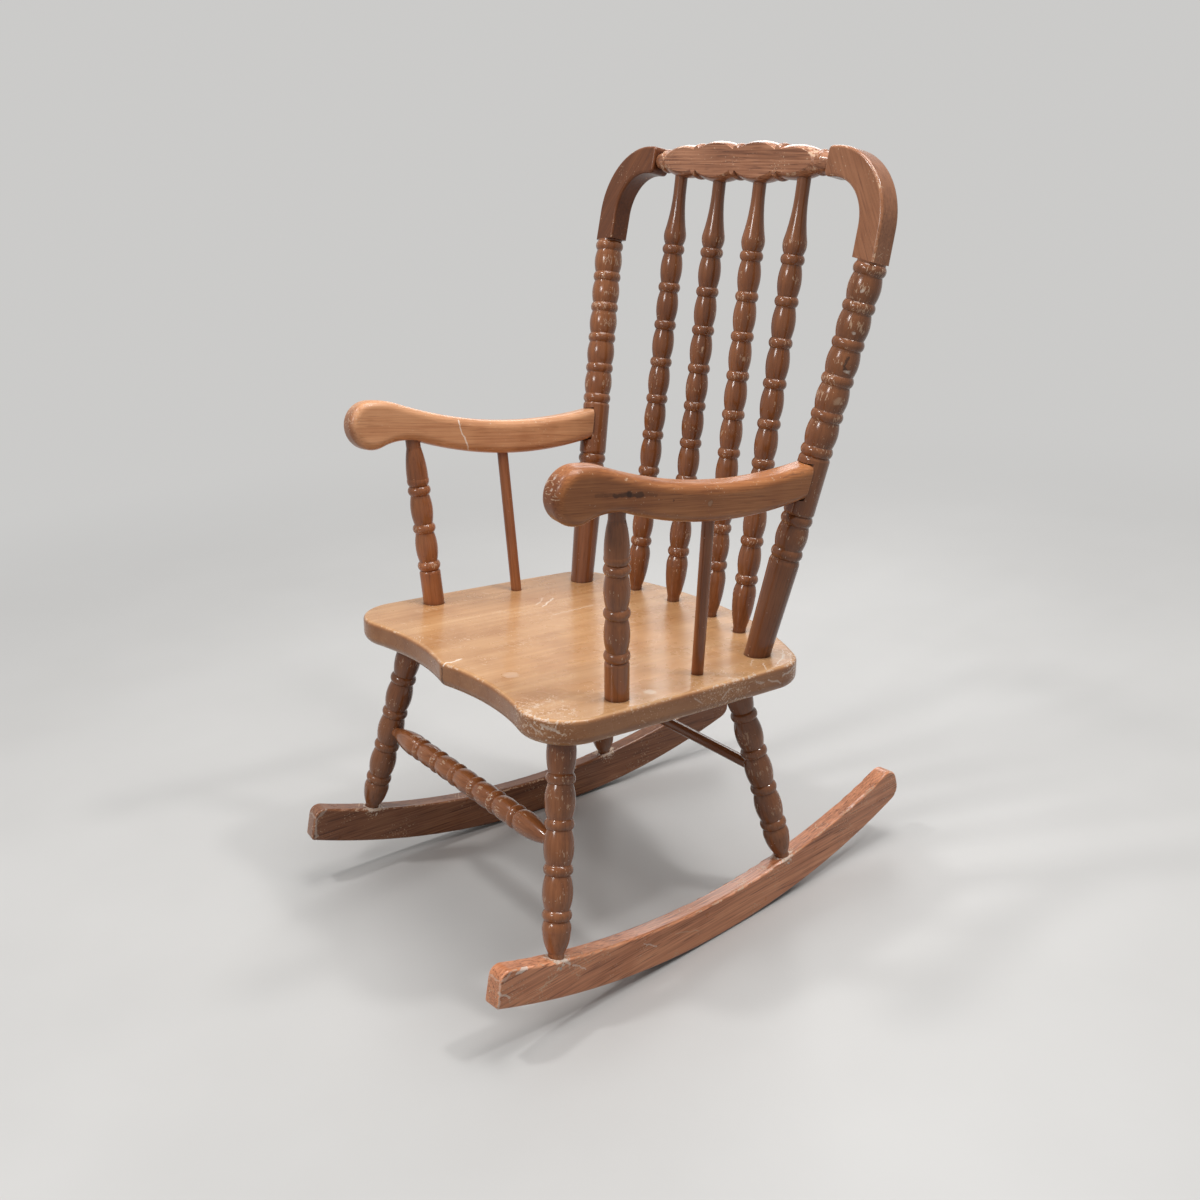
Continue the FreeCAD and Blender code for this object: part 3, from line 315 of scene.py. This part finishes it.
class Wood(Graph):
    """Varnished wood, from its grain to the wear on top of it."""

    def __init__(self, name, place, look, seed):
        super().__init__(name)
        self.place = place
        self.look = look
        self.point = self.add("TexCoord").outputs["Object"]
        self.normal = self.add("NewGeometry").outputs["Normal"]
        location, rotation, _ = place.decompose()
        values = {"Vector": self.point, "Location": location, "Rotation": rotation.to_euler()}
        self.local = self.add("Mapping", values, vector_type="TEXTURE").outputs[0]
        self.moved = self.vector("ADD", self.local, tuple(seed * share for share in SEED_WAY))

    def grain(self):
        """Broad figure, narrow bands, fibre and short dark pores in the look's tones, with painted shade in
        hollows.
        """
        look = self.look
        figure = self.along(self.moved, *FIGURE, detail=3.0, distortion=0.7)
        bands = self.along(self.moved, *BANDS, detail=3.0, distortion=0.4)
        self.fibre = self.along(self.moved, *FIBRE, detail=2.0)
        pores = self.along(self.moved, look.grit, look.grit * PORE_STRETCH, detail=1.0)
        self.pores = self.step(pores, *PORE_LEVELS)
        shares = [share + look.streak * shift for share, shift in zip(GRAIN_SHARES, STREAK_SHIFTS)]
        blend = self.total(*zip((figure, bands, self.fibre), shares))
        colour = self.ramp(blend, list(zip(TONE_LEVELS, look.tones)))
        colour = self.tint(self.math("MULTIPLY", self.pores, look.pores), colour, PORE_TINT)
        cloud = self.noise(self.moved, scale=CLOUDS, detail=3.0)
        colour = self.tint(self.step(cloud, *CLOUD_LEVELS), colour, CLOUD_TINT)
        # Painted shade: ambient occlusion darkens the colour in hollows, bead necks and joints
        crevice_shade = self.add("AmbientOcclusion", {"Distance": CREVICE_SHADE_REACH}, samples=8).outputs["AO"]
        self.colour = self.tint(self.step(crevice_shade, *CREVICE_SHADE_LEVELS), colour, CREVICE_SHADE_TINT)

    def board_edges(self, face, rim=None, end=None):
        """Finds a board's rounded edges and tints its narrow sides, partly with painted shade, and its end
        grain.
        """
        lean = self.math("ABSOLUTE", self.measure("DOT_PRODUCT", self.normal, face))
        self.edge = self.math("MULTIPLY", self.step(lean, *EDGE_START), self.step(lean, *EDGE_END))
        # Darker narrow sides: partly their own tone, partly painted shade
        if rim is not None:
            self.colour = self.tint(self.step(lean, *RIM_LEAN), self.colour, rim)
        if end is not None:
            share = self.step(self.measure("DOT_PRODUCT", self.normal, end), *END_LEAN)
            self.colour = self.tint(share, self.colour, END_TINT)
        self.flakes = self.noise(self.moved, scale=BOARD_FLAKES, detail=3.0, rough=FLAKE_ROUGHNESS)
        self.chip_share = BOARD_CHIP_SHARE

    def turned_crests(self, crest):
        """Finds the crests and shoulders of a turning's beads, from the crests' radius in metres."""
        radius = self.measure("LENGTH", self.vector("MULTIPLY", self.local, (1, 1, 0)))
        axis = self.place.to_3x3() @ Vector((0, 0, 1))
        lean = self.math("ABSOLUTE", self.measure("DOT_PRODUCT", self.normal, axis))
        high = self.step(radius, *(crest - depth * MM for depth in SHOULDER_DEPTH))
        shoulder = self.math("MULTIPLY", self.step(lean, *SHOULDER_LEAN), high)
        top = self.step(radius, *(crest - depth * MM for depth in CREST_DEPTH))
        self.edge = self.math("MAXIMUM", self.math("MULTIPLY", shoulder, SHOULDER_SHARE), top)
        # Flakes stretched along the axis on shoulders and crests: chips, partly painted reflection streaks
        self.flakes = self.along(self.moved, *TURNED_FLAKES_AND_GLINTS, detail=3.0, rough=FLAKE_ROUGHNESS)
        self.chip_share = TURNED_CHIP_SHARE

    def wear(self, scuffs):
        """Rubs the edges pale, partly wear and partly painted highlight, and chips them and the worn places
        down to bare wood.
        """
        worn = 0.0
        for scuff in scuffs:
            here = self.math("MULTIPLY", self.near(self.point, scuff), scuff.strength)
            worn = self.math("MAXIMUM", worn, here)
        patch = self.step(self.noise(self.moved, scale=WEAR_PATCHES, detail=2.0), *WEAR_LEVELS)
        on_edge = self.math("MULTIPLY", self.edge, self.linear(patch, PATCHY_SHARE, 1 - PATCHY_SHARE))
        scuffed = self.linear(self.edge, SCUFF_EDGE_SHARE, 1 - SCUFF_EDGE_SHARE)
        amount = self.math("MAXIMUM", on_edge, self.math("MULTIPLY", worn, scuffed))
        reach = self.math("MULTIPLY", amount, CHIP_REACH + self.look.wear * WEAR_REACH)
        limit = self.math("SUBTRACT", CHIP_LIMIT, reach)
        self.chip = self.step(self.math("SUBTRACT", self.flakes, limit), *CHIP_SOFTNESS)
        # Edges rubbed pale: partly wear, partly painted highlight
        rubbed_and_highlit = self.math("MULTIPLY", self.edge, self.linear(worn, SCUFF_RUB_AND_HIGHLIGHT, self.look.rub))
        self.colour = self.mix(rubbed_and_highlit, self.colour, self.tint(1.0, self.colour, RUB_AND_HIGHLIGHT_TINT))
        pale = self.mix(self.math("MULTIPLY", worn, SCUFF_PALENESS), BARE, WHITE)
        self.colour = self.mix(self.math("MULTIPLY", self.chip, self.chip_share), self.colour, pale)
        self.worn = worn

    def scratches(self):
        """Scratches in patches, and dense in the worn places."""
        patch = self.step(self.noise(self.moved, scale=SCRATCH_PATCHES, detail=2.0), *SCRATCH_LEVELS)
        where = self.math("MAXIMUM", self.math("MULTIPLY", patch, self.look.hairs), self.worn)
        limit = self.math("SUBTRACT", SCRATCH_LIMIT, self.math("MULTIPLY", where, SCRATCH_REACH))
        self.scratch = 0.0
        for turn in SCRATCH_TURNS:
            turned = self.add("Mapping", {"Vector": self.moved, "Rotation": turn}).outputs[0]
            level = self.along(turned, *SCRATCHES, detail=0.0)
            one_way = self.step(self.math("SUBTRACT", level, limit), *SCRATCH_SOFTNESS)
            self.scratch = self.math("MAXIMUM", self.scratch, one_way)
        self.colour = self.mix(self.math("MULTIPLY", self.scratch, SCRATCH_SHARE), self.colour, BARE)

    def marks(self, marks):
        """Single scratches, chips and stains with ragged outlines."""
        wander = self.noise_node(self.point, scale=RAGGED_SCALE, detail=3.0).outputs["Color"]
        wander = self.scaled(self.vector("SUBTRACT", wander, NOISE_MIDDLE), RAGGED_REACH)
        ragged = self.vector("ADD", self.point, wander)
        self.dent = self.chip
        for mark in marks:
            share = self.math("MULTIPLY", self.stroke(ragged, self.normal, mark), mark.strength)
            self.colour = self.mix(share, self.colour, mark.tone)
            self.dent = self.math("MAXIMUM", self.dent, share)

    def varnish(self):
        """Gloss that is dull where the varnish is gone, over the relief of fibre, pores and dents."""
        look, inputs = self.look, self.shader.inputs
        dull = self.math("MAXIMUM", self.dent, self.math("MULTIPLY", self.scratch, SCRATCH_DULLNESS))
        smear = self.noise(self.moved, scale=SMEARS, detail=3.0)
        base = look.gloss - SMEAR_ROUGHNESS / 2
        rough = self.total((smear, SMEAR_ROUGHNESS), (dull, DULL_ROUGHNESS), (1.0, base))
        sag = self.noise(self.moved, scale=SAGS, detail=1.0)
        parts = [(self.fibre, FIBRE_HEIGHT), (self.pores, PORE_HEIGHT * look.pores)]
        height = self.total(*parts, (self.dent, DENT_HEIGHT), (sag, SAG_HEIGHT))
        relief = {"Strength": BUMP_STRENGTH, "Distance": BUMP_DISTANCE, "Height": height}
        self.put(inputs["Base Color"], self.colour)
        self.put(inputs["Roughness"], rough)
        self.put(inputs["Normal"], self.add("Bump", relief).outputs[0])
        inputs["Specular IOR Level"].default_value = SPECULAR
        inputs["Coat Weight"].default_value = look.coat
        inputs["Coat Roughness"].default_value = COAT_ROUGHNESS

    def finish(self, scuffs, marks):
        """Adds the wear and the varnish, once the grain and the edges are there."""
        self.wear(scuffs)
        self.scratches()
        self.marks(marks)
        self.varnish()
        return self.material


def board(name, place, look, face, scuffs=(), marks=(), rim=None, end=None, seed=0.0):
    """Wood of a sawn piece. face is the way of its flat side, rim the tint of its narrow sides (partly
    their own tone, partly painted shade) and end the way its darker end grain looks."""
    wood = Wood(name, place, look, seed)
    wood.grain()
    wood.board_edges(face, rim, end)
    return wood.finish(scuffs, marks)


def turning(name, place, look, crest, marks=(), seed=0.0):
    """Wood of a turned piece, whose beads are rubbed pale, partly with painted highlight, from a crest
    radius in millimetres.
    """
    wood = Wood(name, place, look, seed)
    wood.grain()
    wood.turned_crests(crest * MM)
    return wood.finish((), marks)


def paint(node, material):
    """Gives a CAD node's own slots the finished material."""
    mesh = nodes[node].data
    for index in range(len(mesh.materials)):
        mesh.materials[index] = material


PLAIN_COAT = 0.25
TURNED = Look(
    [(0.160, 0.053, 0.018), (0.240, 0.083, 0.028), (0.320, 0.116, 0.042)],
    streak=0.1, pores=0.35, grit=880, wear=0.45, rub=0.12, gloss=0.20, hairs=0.1, coat=0.28,
)
SEAT_LOOK = Look(
    [(0.442, 0.217, 0.087), (0.535, 0.285, 0.127), (0.614, 0.352, 0.170)],
    streak=0.05, pores=0.10, grit=880, wear=0.80, rub=0.30, gloss=0.28, hairs=0.65, coat=PLAIN_COAT,
)
# The arms are one wood in two tones: the far arm's lighter tones are painted light
ARM_NEAR = Look(
    [(0.280, 0.093, 0.028), (0.400, 0.145, 0.047), (0.512, 0.205, 0.074)],
    streak=0.4, pores=0.45, grit=700, wear=0.30, rub=0.15, gloss=0.36, hairs=0.4, coat=0.10,
)
ARM_FAR_PAINTED_LIGHT = Look(
    [(0.50, 0.220, 0.102), (0.61, 0.300, 0.147), (0.69, 0.355, 0.185)],
    streak=0.4, pores=0.35, grit=700, wear=0.30, rub=0.15, gloss=0.34, hairs=0.4, coat=0.12,
)
CREST_LOOK = Look(
    [(0.195, 0.071, 0.031), (0.333, 0.138, 0.067), (0.465, 0.211, 0.112)],
    streak=0.9, pores=0.80, grit=760, wear=0.75, rub=0.28, gloss=0.30, hairs=0.6, coat=PLAIN_COAT,
)
# The far bracket's darker tones are painted shade on the same wood as the near one
BRACKET_NEAR = Look(
    [(0.230, 0.086, 0.036), (0.300, 0.119, 0.052), (0.370, 0.153, 0.072)],
    streak=0.4, pores=0.45, grit=700, wear=0.70, rub=0.40, gloss=0.28, hairs=0.6, coat=PLAIN_COAT,
)
BRACKET_FAR_PAINTED_SHADE = Look(
    [(0.120, 0.036, 0.010), (0.160, 0.049, 0.014), (0.215, 0.071, 0.022)],
    streak=0.4, pores=0.45, grit=700, wear=0.60, rub=0.40, gloss=0.34, hairs=0.5, coat=0.08,
)
# The far rocker's darker tones are painted shade on the same wood as the near one
ROCKER_NEAR = Look(
    [(0.44, 0.160, 0.070), (0.645, 0.258, 0.125), (0.79, 0.355, 0.184)],
    streak=0.6, pores=0.80, grit=520, wear=0.85, rub=0.50, gloss=0.30, hairs=0.9, coat=PLAIN_COAT,
)
ROCKER_FAR_PAINTED_SHADE = Look(
    [(0.17, 0.060, 0.025), (0.26, 0.102, 0.046), (0.37, 0.160, 0.077)],
    streak=0.6, pores=0.80, grit=520, wear=0.85, rub=0.50, gloss=0.30, hairs=0.7, coat=PLAIN_COAT,
)
DOWEL_LOOK = Look(
    [(0.50, 0.34, 0.20), (0.60, 0.42, 0.25), (0.68, 0.50, 0.32)],
    streak=0.1, pores=0.3, grit=880, wear=0.0, rub=0.0, gloss=0.6, hairs=0.0, coat=PLAIN_COAT,
)

# Turned pieces: the radius at the crests of their beads in millimetres, how worn they are, and their tone.
# A plain rod gets a crest radius that it never reaches, so it gets no rubbing or painted highlight.
NO_CREST = 20
turned_pieces = {
    "front_stretcher": (11.4, 0.70, 1.30),
    "rear_stretcher": (NO_CREST, 0.0, 1.0),
    "leg_front_left": (13.4, 0.46, 1.12),
    "leg_front_right": (13.4, 0.52, 0.92),
    "leg_rear_left": (13.4, 0.55, 1.0),
    "leg_rear_right": (13.4, 0.55, 1.0),
    "arm_post_left": (11.7, 0.50, 1.20),
    "arm_post_right": (11.7, 0.55, 1.28),
    "arm_dowel_left": (NO_CREST, 0.0, 1.45),
    "arm_dowel_right": (NO_CREST, 0.0, 1.30),
    "back_post_left": (14.7, 0.66, 0.95),
    "back_post_right": (14.7, 0.60, 1.05),
}
for number in range(1, SPINDLES + 1):
    turned_pieces[f"spindle_{number}"] = (11.3, 0.45, 1.0)
post_marks = {
    "back_post_left": [
        *line([on_seat(192.3, 174.7, 278.8), on_seat(191.7, 173.8, 268.4)], 1.2, FRONT, DARK, 0.8),
        spot(on_seat(192.6, 174.8, 266.0), 2.4, FRONT, WHITE, 0.8),
        spot(on_seat(190.4, 173.9, 240.6), 4.5, FRONT, BARE, 0.5),
        spot(on_seat(194.4, 177.7, 300.2), 2.0, FRONT, WHITE, 0.55),
        spot(on_seat(197.6, 182.4, 335.7), 2.2, FRONT, WHITE, 0.5),
    ]
}
TURNED_SEED = 0.4
TURNED_SEED_STEP = 0.73
for number, (node, (crest, wear, tone)) in enumerate(turned_pieces.items()):
    tones = [tuple(c * tone for c in colour) for colour in TURNED.tones]
    look = TURNED._replace(wear=wear, tones=tones)
    place = grain_place(*axis_of(node))
    seed = TURNED_SEED + number * TURNED_SEED_STEP
    paint(node, turning(node, place, look, crest, post_marks.get(node, ()), seed))


def paint_rocker(name, side, seed):
    """A rocker that is worn at its ends and round the legs' feet, with scratches on its outer side and pale
    lines along the edges of its front end."""
    def at(x, y, z):
        return on_floor(side * x, y, z)

    toe = TOE_IN * side
    along = Vector((-math.sin(toe), math.cos(toe), 0))
    outward = Vector((along.y, -along.x, 0)) * side
    scuffs = [
        Scuff(at(186, -260, 68), 0.034, 0.62),
        Scuff(at(176.3, -193, 68), 0.020, 1.5),
        Scuff(at(151.8, 93, 45), 0.020, 1.5),
        Scuff(at(143, 258, 62), 0.036, 0.70),
    ]
    marks = [
        *line([at(188, -219, 51), at(186, -199, 56)], 1.0, outward, BARE, 0.6),
        *line([at(189, -240, 79), at(189, -229, 78)], 1.8, outward, WHITE, 0.7),
        *line([at(185, -191, 68), at(185, -185, 61)], 1.6, outward, WHITE, 0.55),
        *line([at(188, -181, 58), at(187, -168, 46)], 1.0, outward, WHITE, 0.45),
        *line([at(180, -100, 38), at(178, -84, 28)], 0.9, outward, WHITE, 0.4),
        *line([at(176, -60, 30), at(173, -32, 20)], 0.8, outward, BARE, 0.5),
        *line([at(190, -262, 70), at(189, -250, 60)], 1.2, outward, WHITE, 0.5),
    ]
    for x, way in ((190.5, outward), (173.5, -outward)):
        corner = (way - along).normalized()
        shoulder = (way + UP).normalized()
        marks += line([at(x, -262, 55), at(x, -257, 77)], 1.2, corner, WHITE, 0.38)
        marks += line([at(x, -256, 78), at(x, -246, 83)], 1.2, shoulder, WHITE, 0.30)
    brow = (UP - along).normalized()
    marks += line([at(174, -258, 78), at(190, -257, 78)], 1.2, brow, WHITE, 0.25)
    middle = at(ROCKER_SPREAD, 0, ROCKER_MIDDLE_HEIGHT)
    place = grain_place(middle, middle + along, outward)
    # The far rocker gets a darker copy of the wood: painted shade
    look = ROCKER_NEAR if side > 0 else ROCKER_FAR_PAINTED_SHADE
    paint(name, board(name, place, look, outward, scuffs, marks, seed=seed))


def left_arm_marks(outward):
    """A knot in a dark streak, a plug, a stain and a dark line outside, and pale spots on the paw."""
    plug = on_seat(183, 34.7, 166)
    paw_spots = [(178, 205), (171, 201), (180, 196), (168, 191)]
    return [
        *line([on_seat(185, -88, 189.5), on_seat(185, -26, 181.5)], 2.2, outward, DARK, 0.35),
        *line([on_seat(185, -70, 187), on_seat(185, -41, 183.5)], 2.8, outward, DARK, 0.70),
        spot(on_seat(185, -55, 185.4), 4.6, outward, DARK, 0.9),
        spot(plug, 4.2, outward, DARK, 0.30),
        spot(plug, 3.2, outward, BARE, 0.35),
        spot(on_seat(184, -6.5, 174), 1.6, outward, DARK, 0.6),
        *line([on_seat(184, 145, 178.3), on_seat(184, 119, 176)], 0.8, outward, DARK, 0.3),
        *[spot(on_seat(x, -124, z), 1.5, FRONT, WHITE, 0.4) for x, z in paw_spots],
    ]


def right_arm_marks(outward):
    """A pale scratch on the inner side."""
    scratch = [on_seat(-160, -8.7, 187), on_seat(-159, -6.3, 173.7), on_seat(-157, 1.6, 156.7)]
    return line(scratch, 1.0, -outward, WHITE, 0.7)


def paint_arm(name, side, seed):
    """An arm with a rubbed paw and the marks of its side."""
    outward = seat_way(side * math.cos(ARM_LEAN), 0, -math.sin(ARM_LEAN))
    scuffs = [
        Scuff(on_seat(side * 178, -122, 198), 0.020, 0.8),
        Scuff(on_seat(side * 180, -79, 205), 0.012, 0.9),
    ]
    marks = left_arm_marks(outward) if side > 0 else right_arm_marks(outward)
    # The far arm gets a lighter copy of the wood: painted light
    look = ARM_NEAR if side > 0 else ARM_FAR_PAINTED_LIGHT
    place = grain_place(on_seat(side * 174, -103, 188), on_seat(side * 166, 162, 165), outward)
    paint(name, board(name, place, look, outward, scuffs, marks, end=FRONT, seed=seed))


def paint_bracket(name, side, seed):
    """A shoulder bracket, whose grain runs from the post to the crest."""
    low, high = on_seat(side * 191.5, 198.4, 359), on_seat(side * 140, 212, 434)
    # The far bracket gets a darker copy of the wood: painted shade
    look = BRACKET_NEAR if side > 0 else BRACKET_FAR_PAINTED_SHADE
    paint(name, board(name, grain_place(low, high, BRACKET_FRONT), look, BRACKET_FRONT, seed=seed))


SIDE_SEED = 20.3
SIDE_SEED_STEP = 3.1
ARM_SEED_SHIFT = 0.4
BRACKET_SEED_SHIFT = 0.6
for number, (name, side) in enumerate(SIDES.items()):
    seed = SIDE_SEED + number * SIDE_SEED_STEP
    paint_rocker(f"rocker_{name}", side, seed)
    paint_arm(f"arm_{name}", side, seed + ARM_SEED_SHIFT)
    paint_bracket(f"shoulder_bracket_{name}", side, seed + BRACKET_SEED_SHIFT)

CREST_SEED = 2.3
crest_place = grain_place(*axis_of("crest_rail"), BRACKET_FRONT)
paint("crest_rail", board("crest_rail", crest_place, CREST_LOOK, BRACKET_FRONT, seed=CREST_SEED))

# Seat: worn places, a crack at the front edge, pale scratches, and pale spots on the top
SEAT_SEED = 8.4
# The seat's narrow sides are darker: partly their own tone, partly painted shade
SEAT_RIM_TONE_AND_SHADE = (0.64, 0.50, 0.43)
seat_place = grain_place(on_seat(0, -126), on_seat(0, 204), seat_way(1, 0, 0))
seat_scuffs = [
    Scuff(on_seat(172, 158, -4), 0.042, 1.0),
    Scuff(on_seat(186, 60, -4), 0.060, 0.85),
    Scuff(on_seat(150, -112, -4), 0.055, 0.95),
    Scuff(on_seat(-93, -4, 0), 0.016, 0.75),
]
seat_marks = [
    *line([on_seat(4, -126), on_seat(5, -118), on_seat(3.7, -106)], 1.4, UP, WHITE, 0.8),
    *line([on_seat(2, -126, -5), on_seat(3, -126, -19)], 1.2, FRONT, DARK, 0.75),
    *line([on_seat(-87, 43.6), on_seat(-105, 68)], 1.1, UP, WHITE, 0.6),
    *line([on_seat(-96, 42), on_seat(-111, 60)], 0.9, UP, WHITE, 0.4),
    *line([on_seat(-58.5, 37), on_seat(-63.3, 90.5)], 1.1, UP, WHITE, 0.35),
    spot(on_seat(63.5, -89), 9.0, UP, WHITE, 0.18),
    spot(on_seat(165.3, -10.7), 7.0, UP, WHITE, 0.50),
    *line([on_seat(158, 154), on_seat(174, 131)], 1.1, UP, WHITE, 0.6),
    *line([on_seat(148, 160), on_seat(168, 143)], 0.9, UP, WHITE, 0.45),
    *line([on_seat(166, 121), on_seat(179, 112)], 1.0, UP, WHITE, 0.5),
    *line([on_seat(152, 119), on_seat(164, 107)], 0.9, UP, WHITE, 0.35),
    *line([on_seat(186, 152, -5), on_seat(187, 131, -9)], 1.2, LEFT, WHITE, 0.45),
    *line([on_seat(187, 128, -15), on_seat(187, 112, -9)], 1.1, LEFT, WHITE, 0.4),
    *line([on_seat(187, 106, -11), on_seat(187, 97, -8)], 1.0, LEFT, WHITE, 0.35),
    *line([on_seat(187, 66, -7), on_seat(187, 55, -13)], 1.0, LEFT, WHITE, 0.35),
    *line([on_seat(187, 31, -12), on_seat(187, 23, -7)], 1.0, LEFT, WHITE, 0.3),
    *line([on_seat(160, -118, -5), on_seat(172, -108, -10)], 1.6, NEAR_CORNER, WHITE, 0.4),
    *line([on_seat(150, -122, -9), on_seat(160, -117, -14)], 1.3, NEAR_CORNER, WHITE, 0.35),
]
seat_wood = board(
    "seat", seat_place, SEAT_LOOK, UP, seat_scuffs, seat_marks, rim=SEAT_RIM_TONE_AND_SHADE, seed=SEAT_SEED
)
paint("seat", seat_wood)

# The hidden dowels, with the grain running the seat's way, and the steel of the screws and pins
STEEL_CLOUDS = 300.0
STEEL_ROUGHNESS = 0.4
STEEL_STOPS = [(0.3, (0.35, 0.34, 0.32)), (0.7, (0.5, 0.49, 0.47))]
paint("crest_dowels", turning("dowel", seat_place, DOWEL_LOOK, NO_CREST))
steel = Graph("steel")
steel_tone = steel.noise(steel.add("TexCoord").outputs["Object"], scale=STEEL_CLOUDS)
steel.put(steel.shader.inputs["Base Color"], steel.ramp(steel_tone, STEEL_STOPS))
steel.shader.inputs["Metallic"].default_value = 1.0
steel.shader.inputs["Roughness"].default_value = STEEL_ROUGHNESS
paint("arm_screws", steel.material)
paint("rocker_pins", steel.material)

# A plain pale floor that runs out into a backdrop of one tone, with lengths in metres
BACKDROP = (0.60, 0.595, 0.585, 1)
GROUND_BOUNCE = (0.20, 0.19, 0.18, 1)
GROUND_STOPS = [(0.3, (0.545, 0.535, 0.520)), (0.7, (0.585, 0.575, 0.560))]
GROUND_CLOUDS = 3.0
GROUND_ROUGHNESS = 0.5
GROUND_FADE = (0.7, 2.0)
FLOOR_SIZE = 40


def seen_directly(graph):
    """1 for rays from the camera, a mirror or glass, 0 for light that falls on things."""
    path = graph.add("LightPath").outputs
    either = graph.math("MAXIMUM", path["Is Camera Ray"], path["Is Glossy Ray"])
    return graph.math("MAXIMUM", either, path["Is Transmission Ray"])


def ground_material():
    """Pale ground that fades into the backdrop further out, and throws back little light from below."""
    ground = Graph("floor")
    point = ground.add("TexCoord").outputs["Object"]
    direct = seen_directly(ground)
    tone = ground.ramp(ground.noise(point, scale=GROUND_CLOUDS, detail=5.0), GROUND_STOPS)
    ground.put(ground.shader.inputs["Base Color"], ground.mix(direct, GROUND_BOUNCE, tone))
    ground.shader.inputs["Roughness"].default_value = GROUND_ROUGHNESS
    far_off = ground.step(ground.measure("LENGTH", point), *GROUND_FADE)
    glow = ground.add("Emission", {"Color": BACKDROP, "Strength": 1.0})
    spread = ground.add("MixShader", {0: ground.math("MULTIPLY", far_off, direct)})
    ground.put(spread.inputs[1], ground.shader.outputs[0])
    ground.put(spread.inputs[2], glow.outputs[0])
    ground.put(ground.output.inputs["Surface"], spread.outputs[0])
    return ground.material


bpy.ops.mesh.primitive_plane_add(size=FLOOR_SIZE)
floor = bpy.context.object
floor.name = "floor"
floor.data.materials.append(ground_material())


def area_light(name, place, target, size, power):
    """A square lamp that looks at its target."""
    lamp = bpy.data.lights.new(name, "AREA")
    lamp.shape = "RECTANGLE"
    lamp.size = lamp.size_y = size
    lamp.energy = power
    light = bpy.data.objects.new(name, lamp)
    light.location = place
    light.rotation_euler = (Vector(target) - Vector(place)).to_track_quat("-Z", "Y").to_euler()
    bpy.context.scene.collection.objects.link(light)


CHAIR_MIDDLE = (0, 0, 0.3)
BACK_MIDDLE = (0, 0, 0.4)
area_light("overhead", (0.2, 0.4, 2.4), CHAIR_MIDDLE, size=1.2, power=32)
area_light("panel_left", (-0.5, -0.9, 2.2), CHAIR_MIDDLE, size=0.2, power=11)
area_light("panel_right", (1.0, 0.7, 2.2), CHAIR_MIDDLE, size=0.2, power=11)
area_light("front", (0.3, -2.2, 1.9), CHAIR_MIDDLE, size=0.5, power=19)
area_light("rear", (-1.8, 1.9, 1.7), BACK_MIDDLE, size=1.0, power=13)


class WorldGraph(Graph):
    """The same helpers for the world's nodes."""

    def __init__(self, world):
        world.use_nodes = True
        self.tree = world.node_tree
        self.fill = self.tree.nodes["Background"]
        self.output = self.tree.nodes["World Output"]


# The world fills the shadows, and shows the backdrop's tone where it is seen
FILL_COLOUR = (0.80, 0.81, 0.82, 1)
FILL_STRENGTH = 0.34
world = bpy.data.worlds.new("studio")
bpy.context.scene.world = world
sky = WorldGraph(world)
sky.fill.inputs["Color"].default_value = FILL_COLOUR
sky.fill.inputs["Strength"].default_value = FILL_STRENGTH
backdrop = sky.add("Background", {"Color": BACKDROP, "Strength": 1.0})
choice = sky.add("MixShader", {0: seen_directly(sky), 1: sky.fill.outputs[0], 2: backdrop.outputs[0]})
sky.put(sky.output.inputs["Surface"], choice.outputs[0])

# The camera looks down on the chair's front and left side. CAMERA_BACK points against its view.
CAMERA_LENS = 40.82
CAMERA_SENSOR = 36
CAMERA_PLACE = (1.0327, -0.7094, 0.7670)
CAMERA_BACK = Vector((0.7731, -0.5288, 0.3501)).normalized()
CAMERA_RIGHT = Vector((0.5815, 0.8115, -0.0582))
camera_data = bpy.data.cameras.new("camera")
camera_data.lens = CAMERA_LENS
camera_data.sensor_width = CAMERA_SENSOR
camera = bpy.data.objects.new("camera", camera_data)
right = (CAMERA_RIGHT - CAMERA_BACK * CAMERA_RIGHT.dot(CAMERA_BACK)).normalized()
turn = Matrix((right, CAMERA_BACK.cross(right), CAMERA_BACK)).transposed().to_4x4()
camera.matrix_world = Matrix.Translation(CAMERA_PLACE) @ turn
bpy.context.scene.collection.objects.link(camera)
bpy.context.scene.camera = camera
bpy.context.scene.view_settings.view_transform = "Standard"
